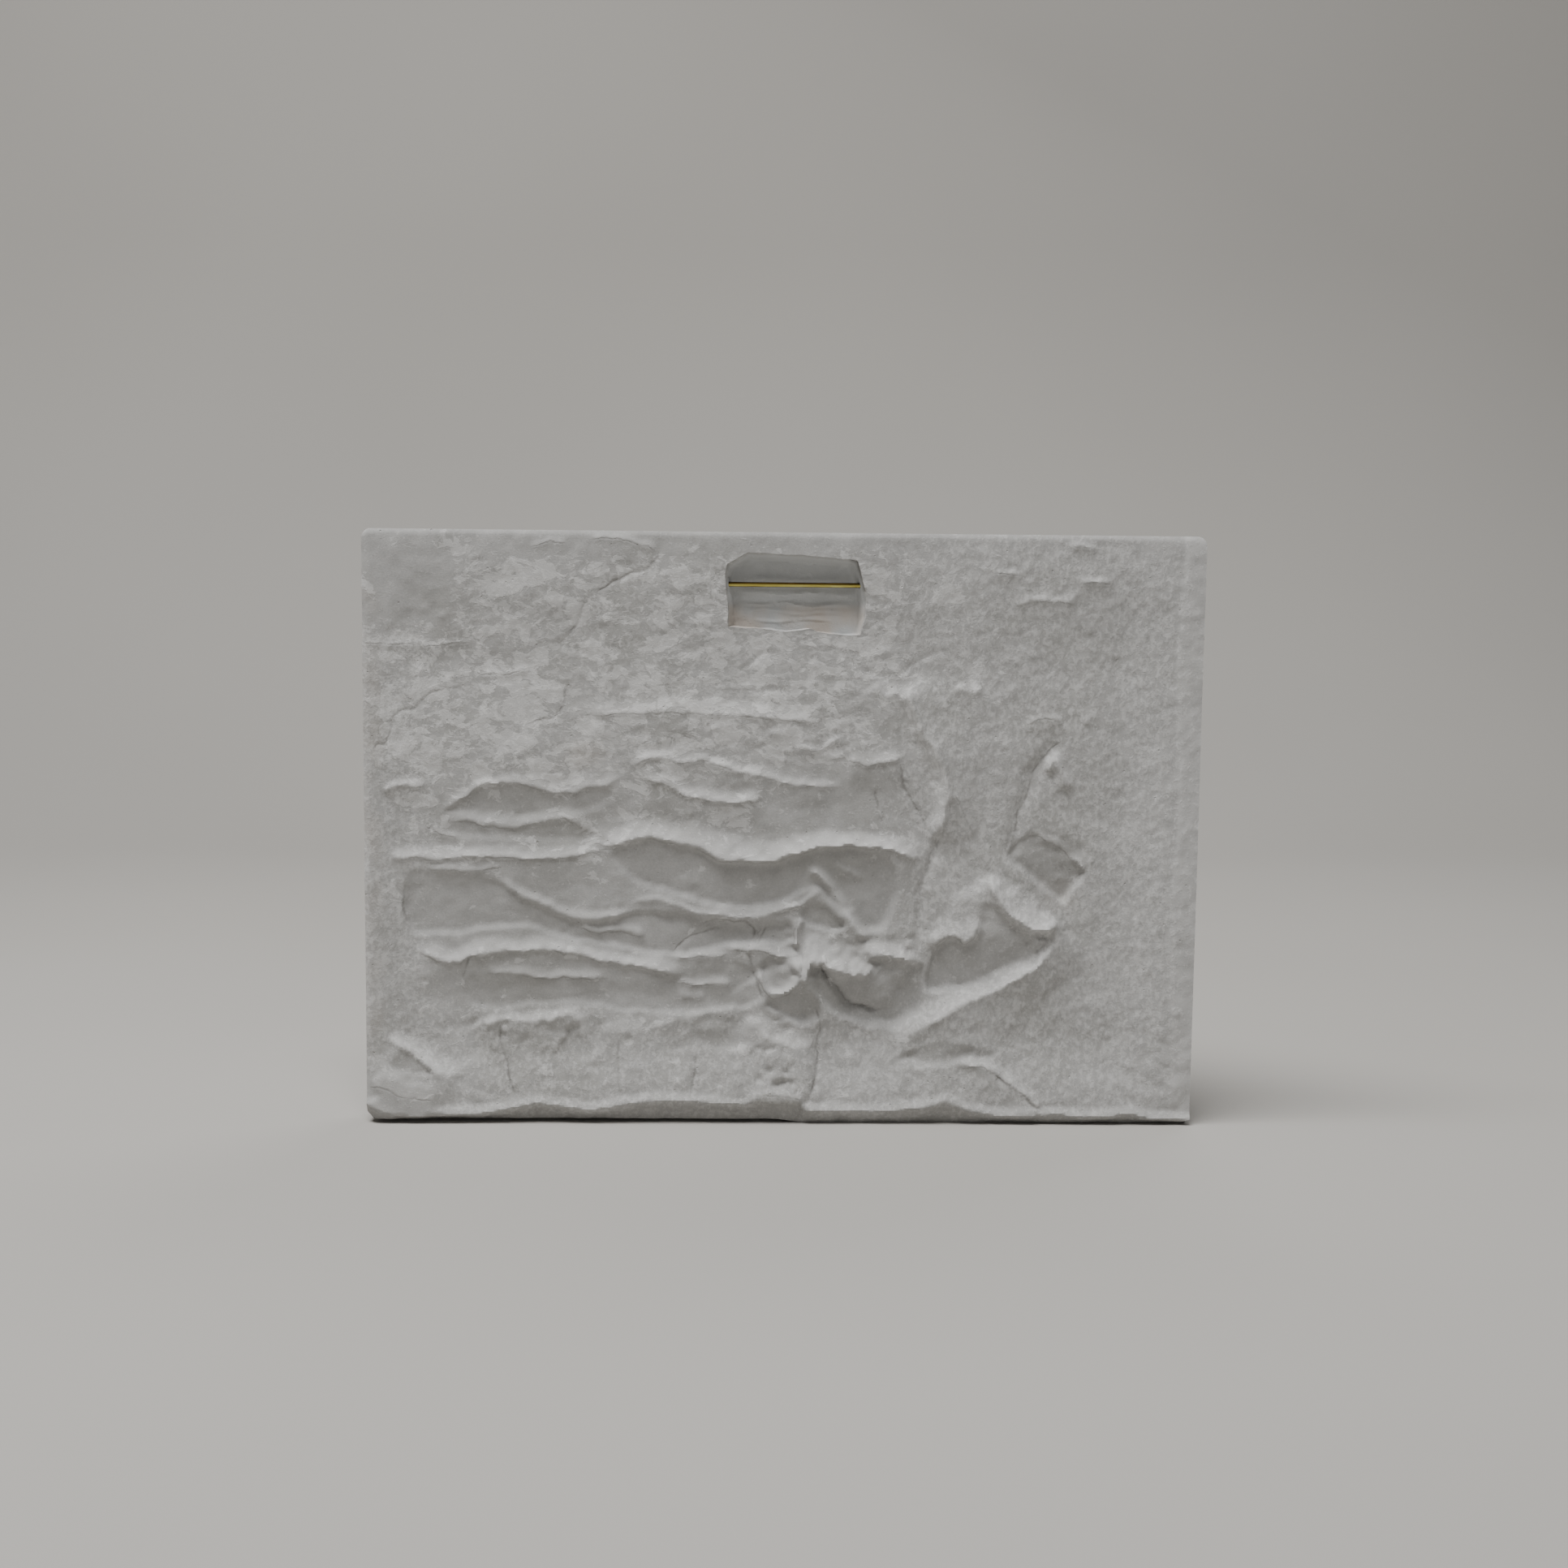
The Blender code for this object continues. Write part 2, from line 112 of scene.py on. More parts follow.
# A shelf swells towards its lip over `above` and drops past it over `below`: (rise, above, below, lip). The
# gentle side is on the left of the lip as its points run, and several widths are spread evenly along it.
SHELVES = {
    "long_shelf": (2.2, (2.4, 3.4, 5.0, 3.0, 2.2, 3.2), 0.9, [(26, 48.6), (29.5, 47.7), (33.5, 49),
        (36.5, 48.4), (39, 47.8), (42, 45.6), (45, 45), (48.5, 45.1), (52, 46.7), (56, 47.8), (60, 47.7),
        (62.5, 47.4), (65, 46), (67.5, 45.2)]),
    "left_shelf": (1.4, 2.0, 0.6, [(2.5, 44.9), (5.5, 45.2), (10, 45.2), (15, 45.4), (20, 45.3),
        (24.5, 45.7), (29.9, 46.6)]),
    "left_shelf_echo": (0.6, 1.0, 0.8, [(7.5, 43.6), (10, 43.4), (13.5, 43.2), (16.5, 43.8)]),
    "lens_brow": (0.8, (1.2, 1.0, 1.6, 2.2, 1.8), 0.6, [(9.5, 52.8), (11.5, 55.2), (14, 57.5), (17, 58),
        (20, 57.4), (24.3, 55.9), (26, 57.3), (29, 57.7), (31, 59.3)]),
    "left_tab": (1.0, 1.2, 0.7, [(2.5, 56.2), (4, 57.2), (7.5, 57.5)]),
    "lens_floor": (0.7, 2.4, 0.9, [(9.5, 51.8), (13, 51.4), (16, 50.4), (19, 50.5), (22.5, 51.9),
        (25, 51.4), (27, 50)]),
    "thin_crease": (0.5, 0.6, 0.5, [(8, 50.3), (9.2, 49.3), (11, 48.4)]),
    "slant_fold": (0.9, 1.3, 1.0, [(15.5, 42), (18.5, 39), (21.5, 37.4), (24, 35.8), (26, 35.1),
        (29, 35.3), (32, 35.6)]),
    "slant_fold_low": (0.8, 1.2, 1.2, [(25.5, 34), (28, 33), (31, 32.8), (33.5, 32.2)]),
    "waist_crest": (0.8, 0.9, 0.9, [(31, 37.3), (34.8, 38.2), (38.9, 36.4), (43, 35.8), (46.2, 35.2),
        (49.9, 36.4), (53.3, 38.5), (54.6, 40.2)]),
    "elbow_fold": (1.4, 1.4, 1.6, [(53, 43.8), (54.8, 42), (57.1, 38.1), (59, 33.6), (60.4, 31)]),
    "upper_ripple": (0.8, 1.4, 0.6, [(31.5, 60.6), (34, 62.2), (38, 61.4), (40.3, 61.9), (44, 60.2),
        (47, 59.6), (50, 58.2), (54, 57.8), (57.8, 57.5)]),
    "middle_ripple": (1.3, 2.0, 0.6, [(32.5, 58.9), (36, 57.8), (38, 56.4), (41, 55.3), (45, 55.1),
        (47.8, 55.6)]),
    "curl": (0.5, 0.8, 0.6, [(51.5, 64.7), (54, 63.9), (55.5, 64.8), (57, 66.1)]),
    "top_shelf": (0.8, 2.6, 0.5, [(25.3, 69.1), (31, 69.6), (36, 70), (41, 69.8), (47, 69.2),
        (55, 68.2)]),
    "neck_tab": (0.9, 1.8, 0.6, [(57.6, 61.9), (61, 61.6), (64.3, 62.6)]),
    "neck_fold": (2.3, (2.4, 2.4, 2.6, 2.2), 1.2, [(68.2, 47.6), (69.3, 53), (69.8, 58), (68.4, 62.6),
        (66.6, 67), (65.4, 71.4), (64.1, 75)]),
    "small_rib": (0.5, 0.6, 0.5, [(70.3, 57), (71.3, 54.8), (72.3, 51.8), (72.9, 49.8)]),
    "socket_slope": (3.2, (2.0, 4.2, 4.8, 4.4, 2.4), 1.7, [(74.7, 42.6), (75.6, 39.8), (77, 37),
        (78.6, 35), (80.4, 33.8), (82, 33.6), (83.6, 35.2)]),
    "zigzag_tab": (1.1, 3.2, 0.6, [(67.6, 29.5), (69, 31.4), (70, 32.4), (71.4, 32.1), (72.3, 31.4),
        (73.3, 32.8), (73.8, 35.4)]),
    "great_diagonal": (1.8, (4.0, 4.2, 3.0, 1.7, 1.3, 1.2), (3.6, 2.4, 1.4, 1.2), [(62.5, 14.6),
        (65, 15.2), (67.3, 16.6), (69.8, 18.6), (72.4, 20.7), (75, 22.6), (77.3, 24.2), (80.2, 26.8),
        (82.5, 29.8), (84.3, 33)]),
    "foot_fold": (1.0, 1.8, 0.8, [(71.3, 9.8), (73.5, 10.3), (75.3, 9.5), (77.5, 7.3), (80, 4.6),
        (82.2, 2.3)]),
    "lower_shelf": (1.7, (2.4, 2.4, 2.2, 1.5), 0.7, [(5.3, 30.4), (8, 28.2), (11, 27.6), (13.3, 28.8),
        (16, 29.4), (20, 29.7), (24, 29.4), (28, 28), (32, 27.3), (36, 26), (39, 24.8)]),
    "lower_shelf_echo": (1.0, 1.7, 0.7, [(14.3, 25.7), (19, 25.4), (23, 24.9), (29.3, 25)]),
    "lower_shelf_end": (0.8, 1.2, 0.5, [(37.5, 24), (40, 23.7), (44.2, 24)]),
    "base_brow": (1.5, 1.5, 0.7, [(12.2, 14.6), (13.8, 16.5), (16.1, 17.3), (19.5, 17.4), (22.5, 17.9),
        (24.2, 18.6), (25.8, 17.4), (26.4, 14)]),
    "corner_fold": (2.4, 2.4, 1.2, [(2, 15), (4.5, 13), (6.5, 10.7), (9, 8.3), (12, 8)]),
    "corner_tongue": (2.2, 2.6, 1.0, [(0.6, 6.6), (3, 6.1), (5.5, 4.8), (8.9, 4.2)]),
    "corner_toe": (1.2, 1.6, 0.8, [(0, 3), (2, 2.4), (4.7, 1.2)]),
    "belt_left": (0.6, 1.0, 0.6, [(36.8, 28.2), (40, 28.3), (43.8, 28.8)]),
    "belt_right": (0.9, 1.5, 0.7, [(43.6, 29.6), (46.5, 29.7), (50, 28.8), (52.2, 28.8)]),
    "knot": (3.1, (2.6, 4.6, 4.8, 3.0), 1.2, [(51.1, 28.8), (51.9, 26.4), (52.7, 25), (53.5, 27.6),
        (55, 27.3), (57, 26.4), (59.4, 25.5), (61.2, 27.6)]),
    "collar": (2.0, (1.4, 2.4, 1.6), 0.8, [(58.6, 29.6), (61, 29.6), (63, 28.9), (65, 27.9),
        (66.8, 26.8)]),
    "knot_tail": (0.9, 0.9, 0.9, [(52.4, 35.2), (51.8, 33), (51.6, 30)]),
    "base_slope_left": (0.7, 2.6, 4.0, [(27, 16), (30, 15.6), (34, 16.2), (37.5, 17.6), (41, 19),
        (45, 19)]),
    "base_slope_mid": (1.5, 3.0, 3.0, [(45.2, 18.4), (47.4, 15.8), (49.4, 13.8), (52, 13.2),
        (54.2, 13.6)]),
    "top_flake": (0.6, 1.0, 0.4, [(27, 98.5), (30, 98.9), (32.5, 98.2), (34.7, 96.8)]),
    "top_chip": (0.4, 0.8, 0.4, [(19.8, 97.2), (22, 98), (24, 98.2)]),
    "spark_a": (0.6, 0.9, 0.5, [(85, 92), (87, 92.4), (88.8, 92.3)]),
    "spark_b": (0.5, 0.8, 0.4, [(83.3, 98.3), (85, 98.2), (86.9, 97.6)]),
    "spark_c": (0.4, 0.8, 0.4, [(74.7, 93.7), (76.5, 93.8), (78.2, 93.4)]),
    "spark_d": (0.5, 1.4, 0.8, [(77, 88.4), (80, 89.2), (84.6, 88.9)]),
    "left_rib": (0.35, 0.7, 0.4, [(0, 81.3), (5, 81.2), (9.5, 80.9), (13.2, 81.3)]),
    "left_rib_low": (0.35, 0.6, 0.4, [(13.5, 76.2), (16.5, 76.2), (20, 76.9)]),
    "arm_dash": (1.1, 1.4, 1.0, [(81.6, 60.2), (82.7, 62.6), (83.6, 60), (84.4, 57)]),
    "lower_knob": (0.6, 1.1, 0.5, [(37.8, 22), (39.3, 21.5), (41, 21.8)]),
    "shoulder_rib": (0.4, 0.8, 0.6, [(56, 45), (57.6, 43.4), (59.8, 41.8)]),
    "knob_right": (0.7, 1.9, 0.9, [(70.9, 75), (71.6, 73.9), (72.6, 73.7), (73.4, 74.6)]),
    "knob_middle": (0.7, 2.0, 0.9, [(60.6, 75), (61.6, 73.4), (62.8, 73), (63.9, 74)]),
    "spark_e": (0.4, 0.8, 0.4, [(79.2, 68.4), (81, 69.4), (83.4, 69.1)]),
    "patch_ledge": (0.7, 0.9, 0.3, [(47.6, 5.4), (49, 5.3), (50.8, 4.9), (52.7, 4.4)]),
    "socket_crest": (0.7, 0.9, 0.5, [(80.6, 49.6), (82.4, 48.4), (84, 46.8), (85.3, 45), (86.2, 43.4)]),
    "tablet": (1.1, 2.6, 1.6, [(46.9, 25.6), (47.8, 24), (49.1, 22.3), (51.3, 23.8), (51.6, 25.6)]),
}

# Shelves too fine to show on the front
FINE_SHELVES = {
    "left_shelf_echo", "left_tab", "thin_crease", "slant_fold_low", "curl", "small_rib", "lower_shelf_end",
    "corner_toe", "belt_left", "knot_tail", "lower_knob", "shoulder_rib", "arm_dash", "patch_ledge",
    "top_flake", "top_chip", "spark_a", "spark_b", "spark_c", "spark_d", "spark_e", "left_rib",
    "left_rib_low",
}

# A hollow: (depth, width of its wall under its top edge and at its foot, outline), with the outline running
# anticlockwise.
HOLLOWS = {
    "long_hollow": (1.7, 1.0, 1.5, [(29.8, 46.6), (30, 44), (33, 40.5), (38, 38.4), (42, 37.2),
        (46, 36.4), (50, 37.5), (53, 40), (55, 39), (57.5, 36), (59.8, 33.5), (61.8, 33), (63.3, 35.5),
        (63.9, 40), (63.3, 44.3), (61.5, 46.9), (58, 47.5), (54, 47.2), (50.5, 45.4), (46, 44.7),
        (42.5, 45), (39.5, 47), (36, 48), (33.5, 48.5)]),
    "lens": (0.8, 0.8, 2.0, [(9.5, 52.5), (13, 52), (18, 51.3), (23, 52.3), (27, 53), (29.5, 55),
        (29, 57.2), (26, 57), (24.3, 55.8), (20, 57.2), (17, 57.8), (14, 57.2), (11.5, 55)]),
    "lens_low": (0.6, 0.8, 1.6, [(10, 49), (15, 48.3), (21, 48), (27, 48), (29.5, 48), (27, 49.8),
        (24.5, 51.2), (21.5, 50.7), (18, 50.2), (13, 51.2), (10, 51.3)]),
    "left_basin": (1.3, 1.0, 1.2, [(5, 33), (10, 32.3), (18, 33.3), (24, 31.5), (31, 29.8), (37, 28.2),
        (45, 30.5), (51, 31), (51, 34.5), (46, 34.4), (40, 35.6), (33, 36), (26, 34.6), (20, 37.3),
        (15, 41.5), (9, 42.8), (5.2, 42.5)]),
    "low_basin": (0.7, 0.8, 1.0, [(12.5, 20), (18, 19.5), (25, 20.4), (32, 19), (40, 18.8), (46, 20),
        (47.5, 22), (46, 27), (40, 27.5), (38.5, 25), (32, 26.8), (27, 27.6), (20, 29), (14, 28.3),
        (12, 25)]),
    "round_pit": (1.8, 0.6, 0.8, [(47.6, 24.7), (49.1, 22.4), (51.2, 23.9), (51.3, 26.8), (49.6, 28.4),
        (47.8, 27.7)]),
    "corner_pit": (1.5, 0.7, 1.2, [(48.1, 20.9), (49.1, 19.1), (52.1, 17.2), (54.6, 18), (54.5, 21.5),
        (51.3, 23.4)]),
    "deep_cleft": (2.6, 0.8, 2.6, [(53.3, 27.4), (54, 22.5), (56, 19.4), (59, 17.2), (62, 16.2),
        (65, 16.9), (67.2, 20.2), (67.3, 26.3), (64.2, 28.3), (60.6, 28.6), (58.8, 25.8), (56.8, 25),
        (55.4, 27)]),
    "wedge": (1.1, 0.6, 0.8, [(52.6, 34.6), (54, 33.2), (56.8, 33), (57.5, 34.2), (55.5, 36.8),
        (54.2, 37.8), (52.7, 36.6)]),
    "socket": (2.0, 0.7, 0.7, [(77.4, 46), (79.5, 42.8), (81.8, 40.3), (84.2, 38), (85.4, 40.3),
        (86.1, 43.5), (84.5, 46.7), (82.1, 49), (79.8, 49.6)]),
    "socket_brow": (0.6, 2.2, 2.2, [(79.5, 47.5), (84, 45.5), (87.5, 46.5), (84, 50), (80, 51)]),
    "right_basin": (1.6, 1.2, 1.6, [(68, 22.5), (73, 23.3), (78, 26.3), (80.3, 28.5), (80, 32),
        (77.5, 35.2), (75, 38), (73.9, 37.5), (73.9, 33), (72.7, 31.5), (70.8, 32), (69.3, 31),
        (67.8, 28)]),
    "foot_pit": (0.8, 2.2, 1.6, [(64, 10.8), (68, 9.8), (72.5, 10.5), (76.4, 11.8), (73, 13.4),
        (70, 14.2), (66.5, 13)]),
    "brow_pit": (0.5, 0.6, 1.1, [(20.3, 16.2), (22.5, 14.9), (25, 15.2), (25.7, 16.8), (23.5, 17.6),
        (21.3, 17.4)]),
    "base_pit": (0.6, 0.8, 1.4, [(39.4, 17.4), (39.5, 13.7), (42.7, 12.4), (47.3, 13.7), (47.2, 16.8),
        (42.7, 18.2)]),
    "corner_dip": (0.8, 0.6, 0.6, [(1.5, 11.5), (3, 8.8), (6, 8), (8, 8.3), (6.5, 10.3), (4.3, 12.6),
        (2, 14)]),
    "thumb_mark": (0.3, 0.4, 0.4, [(3.6, 64.2), (4.3, 63.6), (4.6, 65.2), (4.2, 66.3), (3.7, 65.6)]),
}

# A groove: (depth, half width, path).
GROOVES = {
    "edge_crack": (0.19, 0.21, [(0.9, 62), (1.5, 63.8), (2.3, 64), (3.3, 66), (3.5, 67.7), (3.6, 69),
        (4.8, 70.2), (6, 70.5), (7.8, 72.7), (10, 73.6), (12.5, 74.2)]),
    "seam_upper": (0.17, 0.24, [(24.4, 76.8), (24.1, 73), (23.8, 70.5), (23, 69.3), (22, 68.7),
        (19, 67.6)]),
    "seam_left": (0.14, 0.18, [(5.1, 43), (4.7, 40.5), (4.6, 37.5), (4.9, 34.5), (5.3, 32)]),
    "seam_base_a": (0.28, 0.30, [(16.4, 17), (16.2, 14), (17, 10), (17.7, 6), (18.2, 3.5)]),
    "seam_base_b": (0.19, 0.30, [(30.4, 14.5), (30.5, 10), (30.5, 6.5), (31, 5.5)]),
    "notch_line": (0.22, 0.24, [(12.5, 28), (12, 26.5), (11.6, 24.8)]),
    "belt_seam": (0.33, 0.36, [(46, 29.6), (46.4, 26.5), (47, 23.4), (47.6, 21)]),
    "centre_seam": (0.33, 0.36, [(54.1, 20.3), (54.6, 16), (54.4, 11.5), (54.1, 7.5), (53.3, 3.4)]),
    "foot_seam": (0.28, 0.30, [(75.3, 9.3), (77.5, 7), (80, 4.4), (81.9, 2.4)]),
    "top_crease": (0.19, 0.30, [(43.5, 74.8), (46, 78), (48, 80.2), (52, 80.6), (56, 80), (58, 78.5),
        (60, 76.8), (63.5, 76.2), (65, 78), (67.5, 79.9), (70, 81)]),
    "flake_edge": (0.28, 0.30, [(35, 97.6), (34.7, 95.3), (33.3, 93.7), (31, 92.5), (29, 91),
        (27.6, 89)]),
    "brush_edge": (0.14, 0.30, [(26.3, 88.5), (25.6, 85), (24.3, 83), (23, 81)]),
    "spine": (0.45, 0.7, [(70, 58.2), (69.1, 51.1), (68.2, 45.9), (67.1, 41.4), (66.7, 35), (66.6, 28)]),
    "belt_curve": (0.19, 0.24, [(36.5, 28.2), (37.8, 30.4), (39.4, 32), (43.3, 33.3)]),
    "belt_arch": (0.22, 0.24, [(40, 34.2), (43.5, 34.9), (46, 34.3), (46.7, 33), (46.5, 31)]),
    "belt_tick": (0.17, 0.24, [(48.2, 34.3), (47.2, 30.5)]),
    "neck_line": (0.33, 0.30, [(64, 62), (64.3, 58.5), (65.5, 55), (67, 51.5), (67.5, 49)]),
    "neck_tick": (0.22, 0.30, [(61.2, 57), (61.4, 54), (62, 51.3)]),
    "cleft_crack": (1.1, 0.9, [(54.4, 28.2), (55.3, 26), (56.6, 23.3), (58.3, 20.6), (60, 20),
        (62.2, 18.6)]),
    "base_arch": (0.11, 0.18, [(60.2, 3.5), (60.8, 6), (61.3, 7.8), (62.5, 7.9)]),
    "seam_base_c": (0.25, 0.3, [(39.6, 12.4), (39.8, 9), (39, 4.3)]),
    "arm_groove": (0.6, 1.7, [(83.4, 66), (82, 63.6), (80.1, 60.1), (79, 55.7), (78.4, 52.5), (77.9, 48),
        (77, 44.5)]),
}

# Strokes past whose lip the plaster goes on level, and does not fall back
RISING_STROKES = {
    "base_brow", "base_slope_left", "base_slope_mid", "great_diagonal", "patch_ledge", "collar",
    "corner_fold", "corner_tongue", "corner_toe",
}

# Strokes so soft that no thin dark line runs along them
SOFT_STROKES = {
    "slant_fold", "elbow_fold", "socket_slope", "great_diagonal", "neck_fold", "corner_fold", "knot",
    "collar", "base_slope_left", "base_slope_mid", "base_brow", "spine", "top_crease", "base_arch",
    "arm_dash", "knob_right", "knob_middle", "lower_knob", "shoulder_rib", "waist_crest",
}

# Crumbs of plaster that stand up, and pits of trapped air that go in: (region, count, smallest and largest
# width, height, seed of the chance places), the region as left, right, foot and top.
CRUMBS = [
    ((2, 98, 6, 98), 120, 0.3, 0.7, 0.18, 3),
    ((60, 99, 4, 96), 90, 0.3, 0.6, 0.16, 5),
    ((2, 98, 4, 98), 70, 0.3, 0.5, -0.2, 7),
    ((12.8, 17, 13.5, 17.5), 9, 0.5, 0.9, -0.4, 9),
    ((46, 51.5, 6.5, 18), 12, 0.4, 0.8, -0.35, 13),
    ((48.4, 51.4, 6, 10.5), 6, 0.35, 0.8, -0.6, 21),
    ((79.5, 82, 28, 33.5), 10, 0.4, 0.8, -0.4, 15),
]

# The wavy lip along the foot: place across, and height of the lip
FOOT_LIP = [
    (0, 2.9), (3, 2.2), (5, 1.3), (9, 1.2), (14, 1.4), (18, 2.5), (20.6, 3.3), (24, 2.6), (27, 2.0),
    (30, 2.8), (32.6, 3.5), (36, 3.8), (39, 3.8), (42, 3.4), (45.5, 3.2), (47.6, 4.2), (52.4, 4.0),
    (53.1, 2.6), (57, 2.5), (61, 2.3), (64, 2.6), (67.7, 3.2), (70.2, 4.3), (72.7, 2.7), (76.5, 1.6),
    (81, 1.8), (84, 2.0), (87, 1.4), (90, 1.6), (92.5, 2.2), (95, 1.2), (100, 0.9),
]

# Regions of the panel: (share, left, right, foot, top, width of the region's soft edge). Plaster was slushed
# on over the upper left and the top, and the strip at the left has a bare place.
SLUSHED = [
    (1.0, 12, 62, 62, 97, 8), (0.6, 58, 76, 70, 99, 8), (0.35, 2, 50, 48, 66, 8), (0.4, 2, 66, 4, 64, 6),
]
SLUSHED_STRIP = (0.8, 0, 14, 60, 99, 6)
BARE_PLACE = (1.0, 1.5, 10.5, 84.5, 96.5, 3)
EVERYWHERE = (-99, 199, -99, 199, 4)

# Lumps and dabs that the hand left: (height, size in mm, seed, number of lattices, region)
LUMPS = [
    (0.042, 5, 53, 2, EVERYWHERE),
    (0.035, 5, 53, 2, (66, 100, 0, 100, 14)),
    (0.16, 4, 59, 1, (50, 67, 24, 33, 5)),
    (0.16, 9, 57, 3, (0, 100, -5, 20, 6)),
    (0.18, 60, 61, 3, EVERYWHERE),
    (0.10, 18, 67, 2, EVERYWHERE),
]

# Rows of points round the sides, from the back to the front: (how far in, share of the way to the front)
SIDE_ROWS = [(0.0, 0.06), (0.0002, 0.35), (0.0008, 0.7), (0.0012, 0.94)]


def curve_through(points, closed=False, steps=6):
    """A smooth curve: each span is a cubic whose slope at a point is half its neighbours' step."""
    p = np.array(points, float)
    if closed:
        p = np.vstack([p[-1], p, p[0], p[1]])
    else:
        p = np.vstack([2 * p[0] - p[1], p, 2 * p[-1] - p[-2]])
    t = np.linspace(0, 1, steps, endpoint=False)[:, None]
    a, b, c, d = p[:-3, None], p[1:-2, None], p[2:-1, None], p[3:, None]
    bend = (2 * a - 5 * b + 4 * c - d) * t**2 + (3 * b - 3 * c + d - a) * t**3
    spans = 0.5 * (2 * b + (c - a) * t + bend)
    return np.vstack([spans.reshape(-1, 2), p[-2]])


def from_curve(x, z, curve):
    """Distance to a curve, positive on its left, the place along it from 0 to 1, and how far up it lies."""
    start, step = curve[:-1], np.diff(curve, axis=0)
    across = x[:, None] - start[:, 0]
    up = z[:, None] - start[:, 1]
    along = np.clip((across * step[:, 0] + up * step[:, 1]) / np.maximum((step**2).sum(1), 1e-12), 0, 1)
    across -= along * step[:, 0]
    up -= along * step[:, 1]
    nearest = np.argmin(across**2 + up**2, axis=1)
    row = np.arange(len(x))
    across, up = across[row, nearest], up[row, nearest]
    distance = np.hypot(across, up)
    side = np.where(step[nearest, 0] * up < step[nearest, 1] * across, -1, 1)
    place = (nearest + along[row, nearest]) / len(step)
    return distance * side, place, -up / np.maximum(distance, 1e-9)


def smooth(t):
    """Eases from 0 to 1: three squares less two cubes."""
    t = np.clip(t, 0, 1)
    return t * t * (3 - 2 * t)


def varied(value, place):
    """A width that is one number, or several that are spread evenly along a curve."""
    return np.interp(place, np.linspace(0, 1, np.size(value)), np.atleast_1d(value))


def tapered(place, ends):
    """1 along a stroke, easing to 0 over a share of its length at each end."""
    return smooth(place / ends) * smooth((1 - place) / ends)


def ridge(distance, above, below):
    """A crest along a curve: 1 on it, and straight slopes down on its left and on its right."""
    return np.clip(1 - np.where(distance > 0, distance / above, -distance / below), 0, 1)


def rough(x, z, size, seed, octaves=3):
    """Noise from -1 to 1: chance values on a square lattice, eased between its corners, and each further
    lattice is half as coarse and half as strong."""
    total, strength, whole = np.zeros(np.shape(x)), 1.0, 0.0
    for octave in range(octaves):
        table = np.random.default_rng(seed + octave).uniform(-1, 1, (101, 97))
        across, up = x / size, z / size
        i, j = np.floor(across).astype(int), np.floor(up).astype(int)
        tx, tz = smooth(across - i), smooth(up - j)
        low = table[i % 101, j % 97] * (1 - tx) + table[(i + 1) % 101, j % 97] * tx
        high = table[i % 101, (j + 1) % 97] * (1 - tx) + table[(i + 1) % 101, (j + 1) % 97] * tx
        total += strength * (low * (1 - tz) + high * tz)
        whole += strength
        strength, size = strength / 2, size / 2
    return total / whole * 1.6


def within(u, v, left, right, low, high, soft):
    """1 inside a rectangle of the panel and 0 outside it, eased over a soft edge."""
    return (
        smooth((u - left) / soft + 0.5) * smooth((right - u) / soft + 0.5)
        * smooth((v - low) / soft + 0.5) * smooth((high - v) / soft + 0.5)
    )


def regions_of(u, v, regions):
    """The sum of soft rectangles, each by its share."""
    return sum(share * within(u, v, *region) for share, *region in regions)


def nearby(u, v, outline, reach):
    """Which places lie in the box round an outline, wider than it by `reach` on every side."""
    low, high = outline.min(0) - reach, outline.max(0) + reach
    return (u * aspect > low[0]) & (u * aspect < high[0]) & (v > low[1]) & (v < high[1])


def carving(u, v, softness=1.0, fine=True):
    """Height of all shelves above, and of hollows and grooves below, the plain slab, each looked at only near
    it. A shelf is a slope up to its lip, a hollow an eased wall round a slanting floor, a groove a bell."""
    height = np.zeros(len(u))
    tables = (("shelf", SHELVES), ("hollow", HOLLOWS)) + ((("groove", GROOVES),) if fine else ())
    for kind, table in tables:
        for name, (size, *widths, points) in table.items():
            if not fine and name in FINE_SHELVES:
                continue
            outline = curve_through(points, closed=kind == "hollow") * (aspect, 1)
            reach = max(np.max(width) for width in widths) * softness * 3
            near = nearby(u, v, outline, reach)
            distance, place, up = from_curve(u[near] * aspect, v[near], outline)
            if kind == "shelf":
                above = varied(widths[0], place) * softness
                below = np.maximum(varied(widths[1], place) * fall_softness, narrowest_fall) * softness
                ends, share, run = stroke_end, fall_share, run_out
                if name in RISING_STROKES:
                    ends, share, run = rising_stroke_end, rising_fall_share, rising_run_out
                slope = np.clip(1 - distance / above, 0, 1) ** 1.5
                fall = share * np.clip(1 + distance / below, 0, 1) ** 1.5
                fall += (1 - share) * np.clip(1 + distance / (above * run), 0, 1)
                swell = tapered(place, ends) * np.where(distance > 0, slope, fall)
                height[near] += shelf_share * size * swell
            elif kind == "hollow":
                upper, lower = widths
                wall = wall_softness * softness * ((upper + lower) / 2 + (upper - lower) / 2 * up)
                down = (outline[:, 1].max() - v[near]) / np.ptp(outline[:, 1])
                slant = floor_start + (1 - floor_start) * np.clip(down, 0, 1)
                height[near] -= hollow_share * size * slant * smooth((distance / wall + 0.25) / 1.25)
            else:
                bell = np.exp(-1.5 * (distance / (widths[0] * softness)) ** 2)
                height[near] -= size * tapered(place, groove_end) * bell
    return height * (calm_left + (1 - calm_left) * smooth((u - calm_until) / 12))


def evened(form, u, v, cells):
    """The mean of a form at four places a quarter of a cell away, so that slanting edges have no steps."""
    across, up = 25 / cells[0], 25 / cells[1]
    return sum(form(u + i * across, v + j * up) for i in (-1, 1) for j in (-1, 1)) / 4


